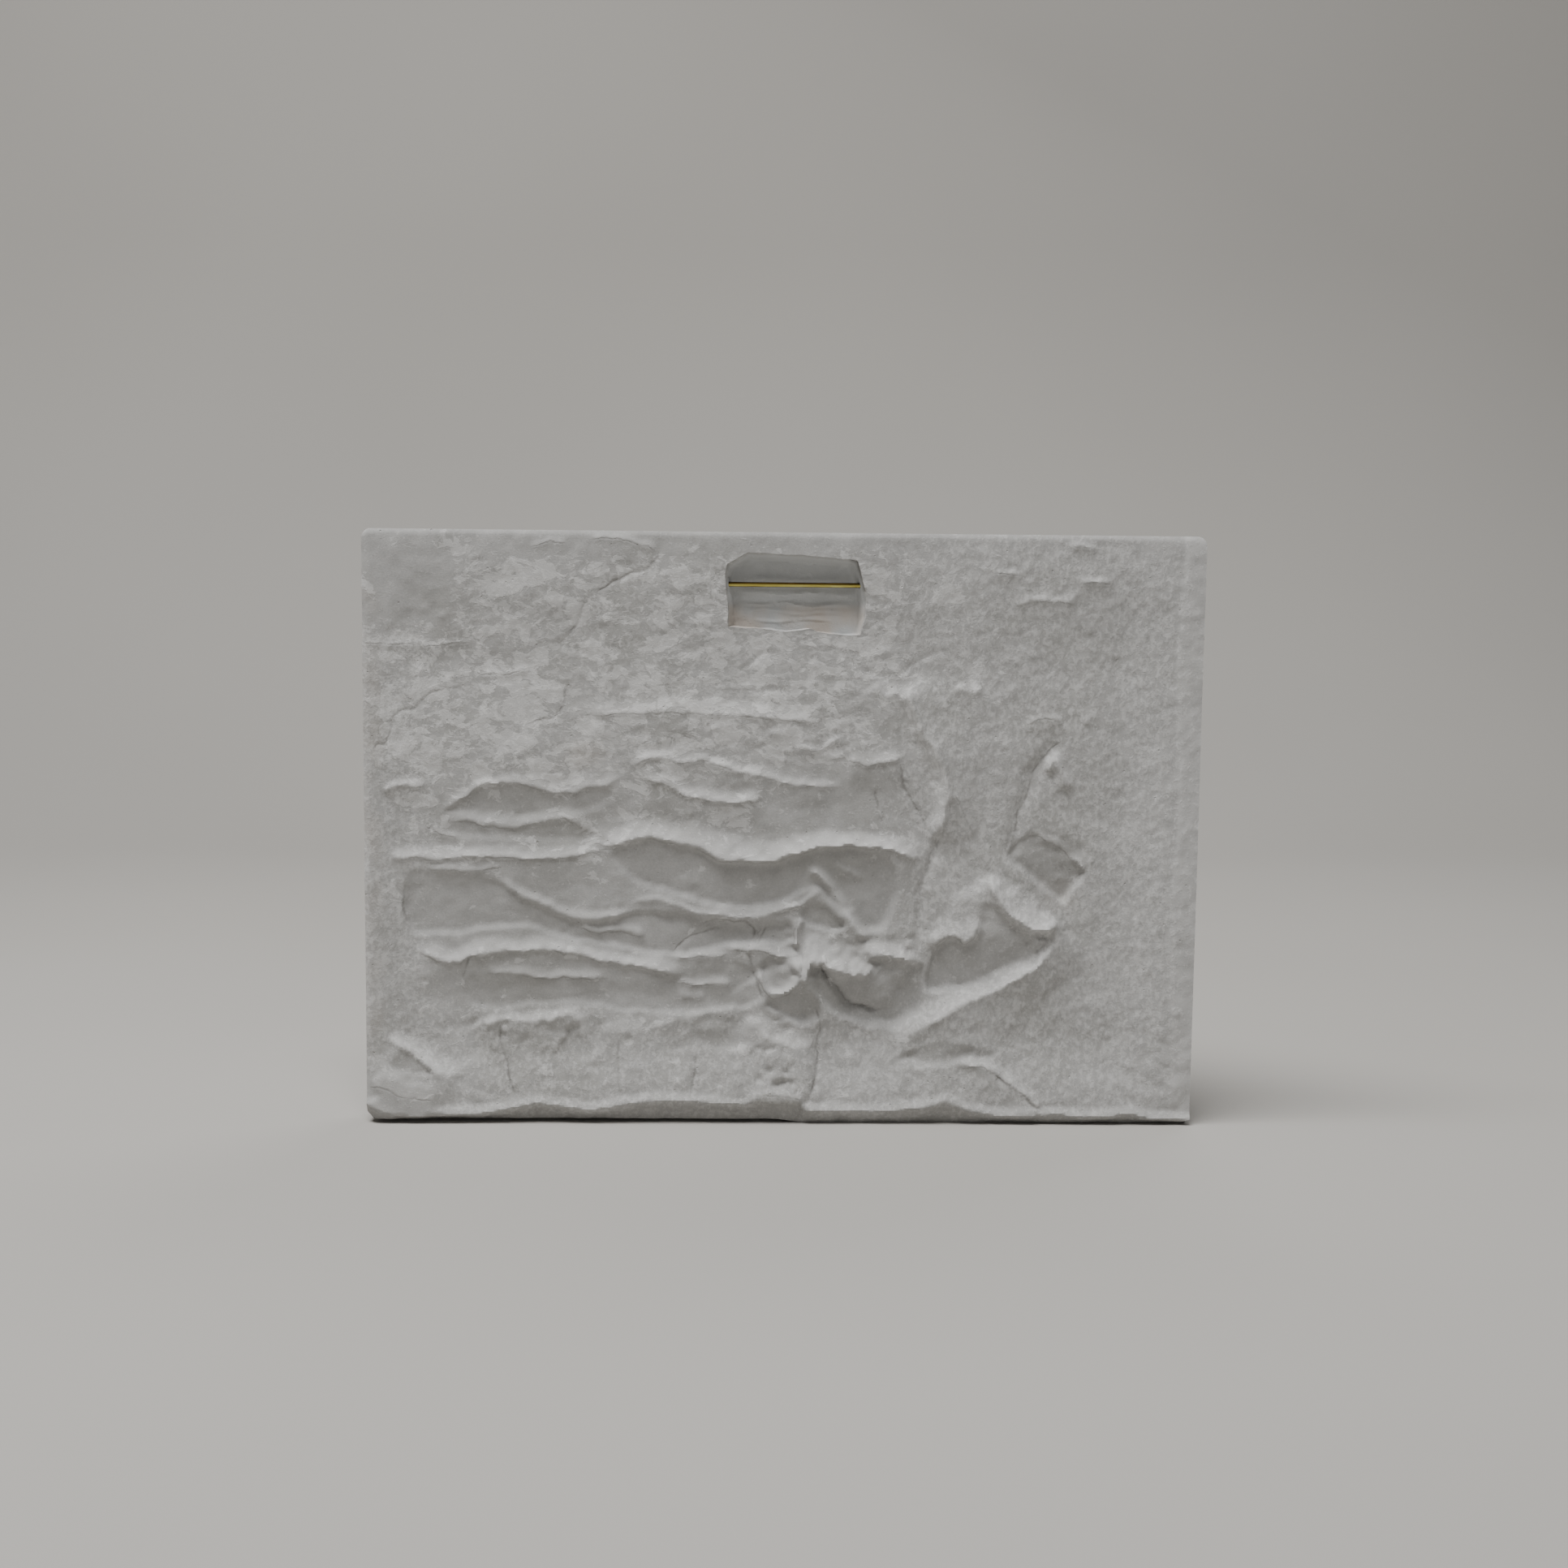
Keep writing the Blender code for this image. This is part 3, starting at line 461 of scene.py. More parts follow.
def hollowed(u, v):
    """How far a place lies within a hollow: 0 outside, easing to 1 past its walls."""
    share = np.zeros(len(u))
    for depth, _, _, points in HOLLOWS.values():
        outline = curve_through(points, closed=True) * (aspect, 1)
        near = nearby(u, v, outline, 1)
        distance = from_curve(u[near] * aspect, v[near], outline)[0]
        share[near] = np.maximum(share[near], smooth(distance / 0.8 + 0.5) * min(1, depth))
    return share


def crested(u, v):
    """How near a place is to a shelf's lip, on its gentle side: 1 on a high lip, 0 where the slope starts."""
    share = np.zeros(len(u))
    for size, above, _, points in SHELVES.values():
        outline = curve_through(points) * (aspect, 1)
        near = nearby(u, v, outline, np.max(above))
        distance, place, _ = from_curve(u[near] * aspect, v[near], outline)
        crest = ridge(distance, varied(above, place), 0.5) * tapered(place, stroke_end)
        share[near] = np.maximum(share[near], crest * min(1, size / 1.6))
    return share


def thin_lines(u, v, table, lips):
    """For the nearest stroke, the distance in mm to its dark line, positive on its left, and how surely a
    place belongs to it: 1 near the stroke, and 0 at its ends and over 3 mm away. A lip's line is at its foot,
    where its shade is painted; a groove's line is its crack."""
    per_percent = panel_height * 10
    away, sure = np.full(len(u), 9.0), np.zeros(len(u))
    for name, (_, *widths, points) in table.items():
        if name in SOFT_STROKES:
            continue
        outline = curve_through(points) * (aspect, 1)
        near = np.flatnonzero(nearby(u, v, outline, 2))
        distance, place, _ = from_curve(u[near] * aspect, v[near], outline)
        foot = varied(widths[1], place) * fall_softness * 0.6 if lips else 0.0
        distance = (distance + foot) * per_percent
        nearer = abs(distance) < abs(away[near])
        hit = near[nearer]
        away[hit] = distance[nearer]
        sure[hit] = tapered(place[nearer], stroke_end) * smooth((3.2 - abs(distance[nearer])) / 1.4)
    return away, sure


def slab(u, v):
    """The plain slab of the back: a dished field, a foot that comes forward to a wavy lip, worn edges."""
    edge_fade = smooth(u / 6) * smooth((98 - u) / 8) * smooth((v - 3) / 12)
    height = -dish_depth * smooth((97 - v) / 20) * edge_fade
    height -= lower_dish_depth * smooth((64 - v) / 14) * edge_fade
    height += foot_swell * smooth((20 - v) / 18) * smooth((u - 3) / 12) * smooth((93 - u) / 15)
    lip = np.interp(u, *np.array(FOOT_LIP).T)
    height += foot_lip_rise * np.clip(1 - np.maximum(v - lip, 0) / 1.5, 0, 1) ** 1.4
    height -= foot_undercut * np.clip((lip - v) / lip, 0, 1) ** 0.85
    height += right_strip_rise * smooth((u - right_strip - 0.3 * np.sin(v / 7)) / 0.7)
    for inward in (u, 100 - v):
        height -= edge_wear * np.clip(1 - inward / edge_wear_width, 0, 1) ** 2
    return height


def slush(u, v):
    """Where the plaster was slushed on and left in thin worm-like flakes, from 0 to 1."""
    strip = regions_of(u, v, [SLUSHED_STRIP]) * (1 - regions_of(u, v, [BARE_PLACE]))
    return np.clip(regions_of(u, v, SLUSHED) + strip, 0, 1)


def surface_marks(u, v):
    """Height of what the hand left: level flakes, comb strokes, dabs on the right and soft lumps."""
    x, z = u * panel_width * 10, v * panel_height * 10
    bent_x = x + 6 * rough(x, z, 16, 11, 2)
    bent_z = z + 4 * rough(x, z, 14, 17, 2)
    flakes = smooth((rough(bent_x * 0.55, bent_z, 8, 23, 3) + 0.12) / 0.4)
    flakes += 0.8 * smooth((rough(bent_x * 0.7, bent_z, 19, 31, 3) - 0.05) / 0.25)
    combed = rough(bent_x / 5, bent_z, 4.5, 41, 2) * within(u, v, 22, 60, 60, 84, 8)
    height = 0.05 * flakes * slush(u, v) + 0.08 * combed
    for rise, size, seed, octaves, region in LUMPS:
        height += rise * rough(x, z, size, seed, octaves) * within(u, v, *region)
    return height


def scattered(u, v, count, low, high, region, seed):
    """A sum of small bells, `count` of them at chance places inside a region, low to high wide in percent."""
    draw = np.random.default_rng(seed)
    left, right, foot, top = region
    total = np.zeros(len(u))
    for _ in range(count):
        centre_u, centre_v = draw.uniform(left, right), draw.uniform(foot, top)
        width = draw.uniform(low, high)
        near = (abs(u - centre_u) < 3 * width) & (abs(v - centre_v) < 3 * width)
        away = ((u[near] - centre_u) * aspect) ** 2 + (v[near] - centre_v) ** 2
        total[near] += np.exp(-1.5 * away / width**2)
    return np.clip(total, 0, 1)


def shaken(u, v):
    """The place a little moved by noise, so that each stroke wavers as a hand's does."""
    x, z = u * panel_width * 10, v * panel_height * 10
    sideways = 0.26 * rough(x, z, 13, 71, 3)
    upwards = 0.3 * rough(x, z, 11, 79, 3) + 0.12 * rough(x, z, 4.5, 89, 1)
    return u + sideways, v + upwards


def back_depth(u, v):
    """Y of the back: slab, shaken carving and marks, eased off where it would stand above the rim."""
    height = evened(slab, u, v, back_cells) + surface_marks(u, v)
    height += evened(carving, *shaken(u, v), back_cells)
    for region, count, low, high, size, seed in CRUMBS:
        height += size * scattered(u, v, count, low, high, region, seed)
    excess = np.maximum(height - highest_crest, 0)
    height += crest_room * (1 - np.exp(-excess / crest_room)) - excess
    return rim_y - height * panel_height / 100


def front_depth(u, v):
    """Y of the front: the back's hollows stand out of it, softly, and fade towards its edges."""
    x, z = u * panel_width * 10, v * panel_height * 10
    fade = smooth(u / 9) * smooth((100 - u) / 9) * smooth(v / 9) * smooth((100 - v) / 9)
    height = -front_share * fade * carving(u, v, front_softness, fine=False)
    worn = np.clip(1 - np.minimum(u, 100 - u) / 2.5, 0, 1) ** 2
    worn += np.clip(1 - np.minimum(v, 100 - v) / 3, 0, 1) ** 2
    height += 0.05 * rough(x, z, 40, 83, 3) - 0.05
    return panel_thickness + rim_y + (height - 0.5 * worn) * panel_height / 100


def on_panel(u, v, inset=0.0):
    """X and Z of a place on the panel: rounded corners, a wider top, a left foot cast off the floor."""
    across = (u / 100 - 0.5) * (panel_width - 2 * inset)
    up = (v / 100 - 0.5) * (panel_height - 2 * inset)
    into_x = 1 - np.clip((panel_width / 2 - inset - abs(across)) / corner_radius, 0, 1)
    into_z = 1 - np.clip((panel_height / 2 - inset - abs(up)) / corner_radius, 0, 1)
    across -= np.sign(across) * corner_radius * into_x * (1 - np.sqrt(1 - into_z**2 / 2))
    up -= np.sign(up) * corner_radius * into_z * (1 - np.sqrt(1 - into_x**2 / 2))
    across *= 1 + top_widening * (v / 100 - 1)
    up += foot_lift * smooth((foot_step_u - u) / 4) * (1 - v / 100) ** 12
    x = across + (0.5 - rod_u / 100) * panel_width
    z = up + (0.5 - rod_v / 100) * panel_height
    return x, z


def border(cells):
    """The outer places of a grid, once round it, as an array of column and row."""
    columns, rows = cells
    across, up = np.arange(columns), np.arange(rows)
    return np.vstack([
        np.column_stack([across, np.zeros(columns, int)]),
        np.column_stack([np.full(rows, columns), up]),
        np.column_stack([columns - across, np.full(columns, rows)]),
        np.column_stack([np.zeros(rows, int), rows - up]),
    ])


def grid_quads(columns, rows, first):
    """The four corners of each cell of a grid whose points are numbered row by row from `first`."""
    i, j = np.meshgrid(np.arange(columns), np.arange(rows))
    corner = (first + j * (columns + 1) + i).ravel()
    return np.column_stack([corner, corner + 1, corner + columns + 2, corner + columns + 1])


def ring_quads(near, far):
    """Faces between two closed rows of points of the same length."""
    return np.column_stack([near, np.roll(near, -1), np.roll(far, -1), far])


def new_piece(name, points, faces, smooth_angle=60):
    """A mesh object at the origin, shaded smooth except at edges sharper than the angle."""
    mesh = bpy.data.meshes.new(name)
    mesh.from_pydata(np.asarray(points).tolist(), [], faces)
    mesh.validate()
    mesh.update()
    mesh.shade_smooth()
    mesh.set_sharp_from_angle(angle=math.radians(smooth_angle))
    piece = bpy.data.objects.new(name, mesh)
    bpy.context.collection.objects.link(piece)
    return piece


def plaster_slab(name):
    """Back grid, rows of points round the sides, and the coarser front grid, which meets every third one."""
    parts, faces, first = [], [], 0
    for cells, depth, inset in ((back_cells, back_depth, 0.0), (front_cells, front_depth, draft_inset)):
        i, j = np.meshgrid(np.arange(cells[0] + 1), np.arange(cells[1] + 1))
        u, v = (i / cells[0] * 100).ravel(), (j / cells[1] * 100).ravel()
        x, z = on_panel(u, v, inset)
        parts.append(np.column_stack([x, depth(u, v), z]))
        quads = grid_quads(*cells, first)
        faces += (quads if cells is back_cells else quads[:, ::-1]).tolist()
        first += len(u)
    round_back = border(back_cells)
    near = round_back[:, 1] * (back_cells[0] + 1) + round_back[:, 0]
    u, v = round_back[:, 0] / back_cells[0] * 100, round_back[:, 1] / back_cells[1] * 100
    edge_y = parts[0][near, 1]
    front_y = panel_thickness + rim_y
    for inset, share in SIDE_ROWS:
        x, z = on_panel(u, v, inset)
        along = (u * panel_width + v * panel_height * 1.7) * 10
        y = edge_y + (front_y - edge_y) * share
        sunk = 0.0005 * (1 + rough(along, y * 1000, 12, 91, 3)) + inset
        flat_foot = (v == 0) & (u > foot_step_u)
        middle_x, middle_z = (0.5 - rod_u / 100) * panel_width, (0.5 - rod_v / 100) * panel_height
        x = middle_x + (x - middle_x) * (1 - sunk / panel_width)
        z = np.where(flat_foot, panel_low.z, middle_z + (z - middle_z) * (1 - sunk / panel_height))
        parts.append(np.column_stack([x, y, z]))
        far = first + np.arange(len(u))
        faces += ring_quads(far, near).tolist()
        near, first = far, first + len(u)
    round_front = border(front_cells)
    coarse = len(parts[0]) + round_front[:, 1] * (front_cells[0] + 1) + round_front[:, 0]
    steps = [np.roll(near, -n)[::cell_ratio] for n in range(cell_ratio, -1, -1)]
    faces += np.column_stack([coarse, np.roll(coarse, -1), *steps]).tolist()
    points = np.clip(np.vstack(parts), list(panel_low), list(panel_high))
    return new_piece(name, points, faces)


# The pocket is cut into the back by hand with a chisel-ended tool, for a hook, and its floor keeps the marks
# of the tool. The rod's ends sit in two blind holes in its side walls. Places on its outline are shares of
# its size.
pocket_width = 0.091
pocket_height = 0.053
pocket_depth = 0.0175
pocket_centre = (51.2, 89.7)
pocket_columns = 180
hole_gap = 0.0003
cut_edge_angle = 50
POCKET_OUTLINE = [
    (-0.5, 0.23), (-0.48, 0.35), (-0.38, 0.46), (-0.34, 0.5), (0.05, 0.47), (0.38, 0.42), (0.43, 0.4),
    (0.47, 0.2), (0.5, -0.08), (0.5, -0.28), (0.47, -0.49), (0.38, -0.5), (0.17, -0.46), (0.11, -0.42),
    (-0.07, -0.46), (-0.19, -0.43), (-0.48, -0.4), (-0.48, -0.12),
]

# Rows of the cutter down the wall and in towards the floor: (share of the outline, depth from the rim), and
# the shares of the rows on the floor
WALL_ROWS = [
    (1.03, -0.0215), (1.03, -0.004), (1.02, 0.001), (0.98, 0.006), (0.95, 0.010),
    (0.92, pocket_depth - 0.001),
]
floor_shares = np.linspace(0.9, 0.025, 28)

# Marks of the tool on the floor: (height in metres, width in mm, lip in mm from the pocket's middle)
FLOOR_MARKS = [
    (0.0014, 3.0, [(-40, 1.0), (-26, 0.5), (-8, -1.0), (12, 0.5), (30, -0.5), (44, 0.5)]),
    (0.0012, 2.4, [(-38, -6.0), (-22, -7.5), (-6, -6.0), (10, -9.0), (26, -7.0), (42, -8.5)]),
    (0.0010, 2.2, [(-36, -12.0), (-18, -10.5), (2, -13.5), (20, -12.0), (40, -14.0)]),
    (0.0009, 2.0, [(-30, -17.0), (-12, -18.5), (8, -16.5), (28, -18.5)]),
    (0.0009, 2.4, [(-34, 8.0), (-16, 10.0), (6, 8.5), (30, 10.0)]),
]


def pocket_cutter(name):
    """A plug of rows round the outline: down the wall, drawn in a little, then in to the floor's middle."""
    outline = np.array(POCKET_OUTLINE + POCKET_OUTLINE[:1]) * (pocket_width, pocket_height)
    walked = np.r_[0, np.cumsum(np.hypot(*np.diff(outline, axis=0).T))]
    count = pocket_columns
    walk = np.arange(count) / count * walked[-1]
    across, up = (np.interp(walk, walked, outline[:, axis]) for axis in (0, 1))
    floor_y = rim_y + pocket_depth
    rows = [(share, rim_y + inward) for share, inward in WALL_ROWS]
    rows += [(share, floor_y) for share in floor_shares]
    parts = []
    for share, y in rows:
        wobble = 0.0004 * rough(walk * 1000, np.full(count, y * 1000), 7, 101, 3)
        x = across * share + wobble * share * np.sign(across) + 0.001 * (1 - share)
        z = up * share + wobble * share * np.sign(up) - 0.02 * (1 - share)
        depth = np.full(count, float(y))
        if y == floor_y:
            depth += 0.0005 * rough(x * 1000, z * 1000, 9, 107, 3) - 0.0006 * smooth((0.004 - z) / 0.006)
            for rise, width, lip in FLOOR_MARKS:
                distance, place, _ = from_curve(x * 1000, z * 1000, curve_through(lip))
                depth -= rise * ridge(distance, width, 0.9) * tapered(place, 0.2)
        parts.append(np.column_stack([x, depth, z]))
    points = np.vstack(parts)
    points[:, 0] += (pocket_centre[0] - rod_u) / 100 * panel_width
    points[:, 2] += (pocket_centre[1] - rod_v) / 100 * panel_height
    rings = [np.arange(count) + count * row for row in range(len(rows))]
    faces = [rings[0][::-1].tolist(), rings[-1].tolist()]
    for near, far in zip(rings, rings[1:]):
        faces += ring_quads(near, far).tolist()
    return new_piece(name, points, faces)


def round_bar(name, length, radius, sides=32, rows=90, bow=0.0, dents=0.0):
    """A bar along X: circles of points on its length, bowed by half a wave, dented by noise, flat ends."""
    x = np.linspace(-length / 2, length / 2, rows)
    turn = np.arange(sides) / sides * 2 * math.pi
    along, around = np.meshgrid(x, turn, indexing="ij")
    thick = radius * (1 - dents * (1 + rough(along * 1000, np.cos(around) * 6, 4, 113, 3)) / 2)
    bent = bow * np.cos(along / length * math.pi)
    y = thick * np.sin(around) + bent
    z = thick * np.cos(around) - bent
    points = np.column_stack([along.ravel(), y.ravel(), z.ravel()])
    rings = [np.arange(sides) + sides * row for row in range(rows)]
    faces = [rings[0].tolist(), rings[-1][::-1].tolist()]
    for near, far in zip(rings, rings[1:]):
        faces += ring_quads(far, near).tolist()
    return new_piece(name, points, faces, 40)


def cut_out(piece, cutter):
    """Takes the cutter's form out of the piece for good, and removes the cutter."""
    boolean = piece.modifiers.new("cut", "BOOLEAN")
    boolean.operation = "DIFFERENCE"
    boolean.solver = "MANIFOLD"
    boolean.object = cutter
    bpy.context.view_layer.update()
    mesh = bpy.data.meshes.new_from_object(piece.evaluated_get(bpy.context.evaluated_depsgraph_get()))
    mesh.set_sharp_from_angle(angle=math.radians(cut_edge_angle))
    piece.modifiers.clear()
    piece.data = mesh
    bpy.data.objects.remove(cutter)


rod_low, rod_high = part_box("hanging_rod")
rod_length = rod_high.x - rod_low.x
rod_radius = (rod_high.z - rod_low.z) / 2
plaster = plaster_slab("plaster_relief")
cut_out(plaster, pocket_cutter("pocket"))
cut_out(plaster, round_bar("rod_hole", rod_length + 2 * hole_gap, rod_radius + hole_gap))

# The casting's surface isn't the same all over. These say where its material has slush and dabs, where
# highlight and shade are painted on it, where the pocket is painted paler, where stains lie, and how far each
# place is from a crack or a lip's foot.
MARKS = [
    "flaked", "stippled", "rubbed", "dusty", "stained", "pocketed", "lip_mm", "lip_near", "crack_mm",
    "crack_near",
]

# Regions as above: dabbed with a brush, darker by painted shade in the socket, warm with a stain, the pocket
# and the pocket with its rim
DABBED = [(1.0, 64, 97, 2, 99, 14), (0.8, -2, 8, 8, 84, 5), (0.6, 8, 66, -2, 21, 6), (0.3, *EVERYWHERE)]
SOCKET_SHADE_PLACE = (0.6, 78.4, 85, 39.6, 48, 2)
WARM = [(0.2, -5, 2, 10, 90, 2), (0.3, 24, 28, 61, 65, 3), (0.3, 81, 85, 37, 42, 3)]
POCKET_PLACE = (43, 59.6, 82.7, 96.5, 0.5)
POCKET_RIM_PLACE = (42.6, 60, 82.3, 97, 0.3)


def marked(piece, name, values):
    """Stores one number for each point of a piece, for its material to read."""
    layer = piece.data.attributes.new(name, "FLOAT", "POINT")
    layer.data.foreach_set("value", np.asarray(values, np.float32))


points = np.empty(len(plaster.data.vertices) * 3)
plaster.data.vertices.foreach_get("co", points)
points = points.reshape(-1, 3)
normals = np.empty(points.size)
plaster.data.vertices.foreach_get("normal", normals)
u = (points[:, 0] - panel_low.x) / panel_width * 100
v = (points[:, 2] - panel_low.z) / panel_height * 100
x_mm, z_mm = points[:, 0] * 1000, points[:, 2] * 1000

# The carved side, and the pocket without the front that lies past its floor
behind = points[:, 1] < rim_y + pocket_depth + 0.004
on_back = smooth((0.012 - points[:, 1]) / 0.004)
in_pocket = within(u, v, *POCKET_PLACE) * smooth((points[:, 1] + 0.0045) / 0.0015) * behind
# The pocket is painted paler: painted light that lifts the shade of the recess
marked(plaster, "pocketed", in_pocket)

# Slush and dabs are thinner in the hollows
wavering = shaken(u, v)
sunk = hollowed(*wavering)
bare = on_back * (1 - 0.4 * sunk)
marked(plaster, "flaked", slush(u, v) * (1 - in_pocket) * bare + 0.5 * in_pocket)
dabbed = np.clip(regions_of(u, v, DABBED), 0, 1)
marked(plaster, "stippled", dabbed * bare * (1 - 0.5 * in_pocket))

# The right edge, the left edge and the crests are painted paler: a painted highlight where they face the lamp
edges = smooth((u - right_strip - 0.3 * np.sin(v / 7)) / 0.5)
edges += 0.6 * smooth((0.9 - u) / 0.6) * smooth((90 - v) / 20)
rubbed = 0.3 * edges + 0.5 * crested(*wavering)
marked(plaster, "rubbed", rubbed * (1 + 0.5 * rough(x_mm, z_mm, 5, 137, 3)) * on_back)

# Painted shade: darker in the hollows, under the foot's lip, in the socket, and on the pocket's lower and
# right walls
under = smooth((np.interp(u, *np.array(FOOT_LIP).T) - v) / 1.2 + 0.2)
painted_darkening = 0.3 * sunk + (1.4 - 0.7 * smooth((u - 52) / 3)) * under + regions_of(u, v, [SOCKET_SHADE_PLACE])
walls = within(u, v, *POCKET_RIM_PLACE) * smooth((normals[1::3] + 0.85) / 0.25) * behind
wall_painted_darkening = 4.0 * walls * np.maximum(smooth((84.6 - v) / 0.4), smooth((u - 57.4) / 0.5))
marked(plaster, "dusty", np.clip(painted_darkening * on_back * (1 - in_pocket) + wall_painted_darkening, 0, 4))

# Dark lines at the feet of lips, where shade is painted, and cracks along grooves
for name, table in (("lip", SHELVES), ("crack", GROOVES)):
    away, sure = thin_lines(*wavering, table, name == "lip")
    marked(plaster, name + "_mm", away)
    marked(plaster, name + "_near", sure * on_back * (1 - in_pocket))

# A warm stain lies in the pocket below the rod, and in a few other places
warm = 1.1 * in_pocket * smooth((88.4 - v) / 1.4) + regions_of(u, v, WARM)
marked(plaster, "stained", np.clip(warm * (0.6 + 0.7 * rough(x_mm, z_mm, 16, 131, 3)), 0, 1))

# Cast gypsum plaster, dried in air: matt, chalky and nearly white when new, greyed by handling and dust. The
# eye sees a fine grain, flakes of a hand's slush, pin holes of trapped air, and faint warm stains.


def linear(colour):
    """A hex colour in sRGB to linear light: a twelfth below a small value, and a power of 2.4 above it."""
    shares = [int(colour[k:k + 2], 16) / 255 for k in (1, 3, 5)]
    return tuple(s / 12.92 if s <= 0.04045 else ((s + 0.055) / 1.055) ** 2.4 for s in shares) + (1.0,)


def add(tree, kind, settings=None, links=None, output=0):
    """Adds a node and gives one of its outputs: settings name its properties, the values of its sockets or a
    ramp's stops, and links name what feeds its sockets."""
    made = tree.nodes.new("ShaderNode" + kind)
    for key, value in (settings or {}).items():
        if key == "stops":
            band = made.color_ramp
            while len(band.elements) < len(value):
                band.elements.new(0.5)
            for element, (place, colour) in zip(band.elements, value):
                element.position = place
                element.color = linear(colour) if isinstance(colour, str) else (colour, colour, colour, 1.0)
        elif isinstance(key, str) and hasattr(made, key):
            setattr(made, key, value)
        else:
            made.inputs[key].default_value = linear(value) if isinstance(value, str) else value
    for key, source in (links or {}).items():
        tree.links.new(source, made.inputs[key])
    return made.outputs[output]


def shader_of(name):
    """A new material, with its tree, its Principled shader and the place on the piece."""
    made = bpy.data.materials.new(name)
    made.use_nodes = True
    tree = made.node_tree
    return made, tree, tree.nodes["Principled BSDF"], add(tree, "TexCoord", output="Object")


# Films of slush: (width of its spots in mm, detail, distortion, stretch, roughness, the attribute that says
# where it lies, the noise where a spot starts and is whole, share of its colour, height in metres)
FILMS = [
    (12, 8, 0.5, (0.75, 1.0, 1.0), 0.6, "flaked", (0.69, 0.72), 0.62, 0.0001),
    (3.2, 5, 0.8, (0.7, 1.0, 1.0), 0.5, "flaked", (0.72, 0.76), 0.4, 0.00005),
    (3.0, 7, 0.0, (1.0, 1.0, 0.75), 0.65, "stippled", (0.64, 0.78), 0.5, 0.00014),
]

# Patterns of noise: (width of their spots in mm, detail, distortion, stops of their ramp)
PATTERNS = {
    "open_parts": (11, 3, 0.0, [(0.36, 0.2), (0.6, 1.0)]),
    "clouds": (70, 4, 0.0, [(0.34, "#acaba8"), (0.5, "#b1b0ae"), (0.66, "#b6b5b3")]),
    "blotches": (9, 5, 0.3, [(0.38, 0.4), (0.62, 0.6)]),
    "speckle": (1.4, 5, 0.3, [(0.38, 0.4), (0.62, 0.6)]),
    "specks": (1.6, 2, 0.0, [(0.66, 0.0), (0.74, 1.0)]),
}


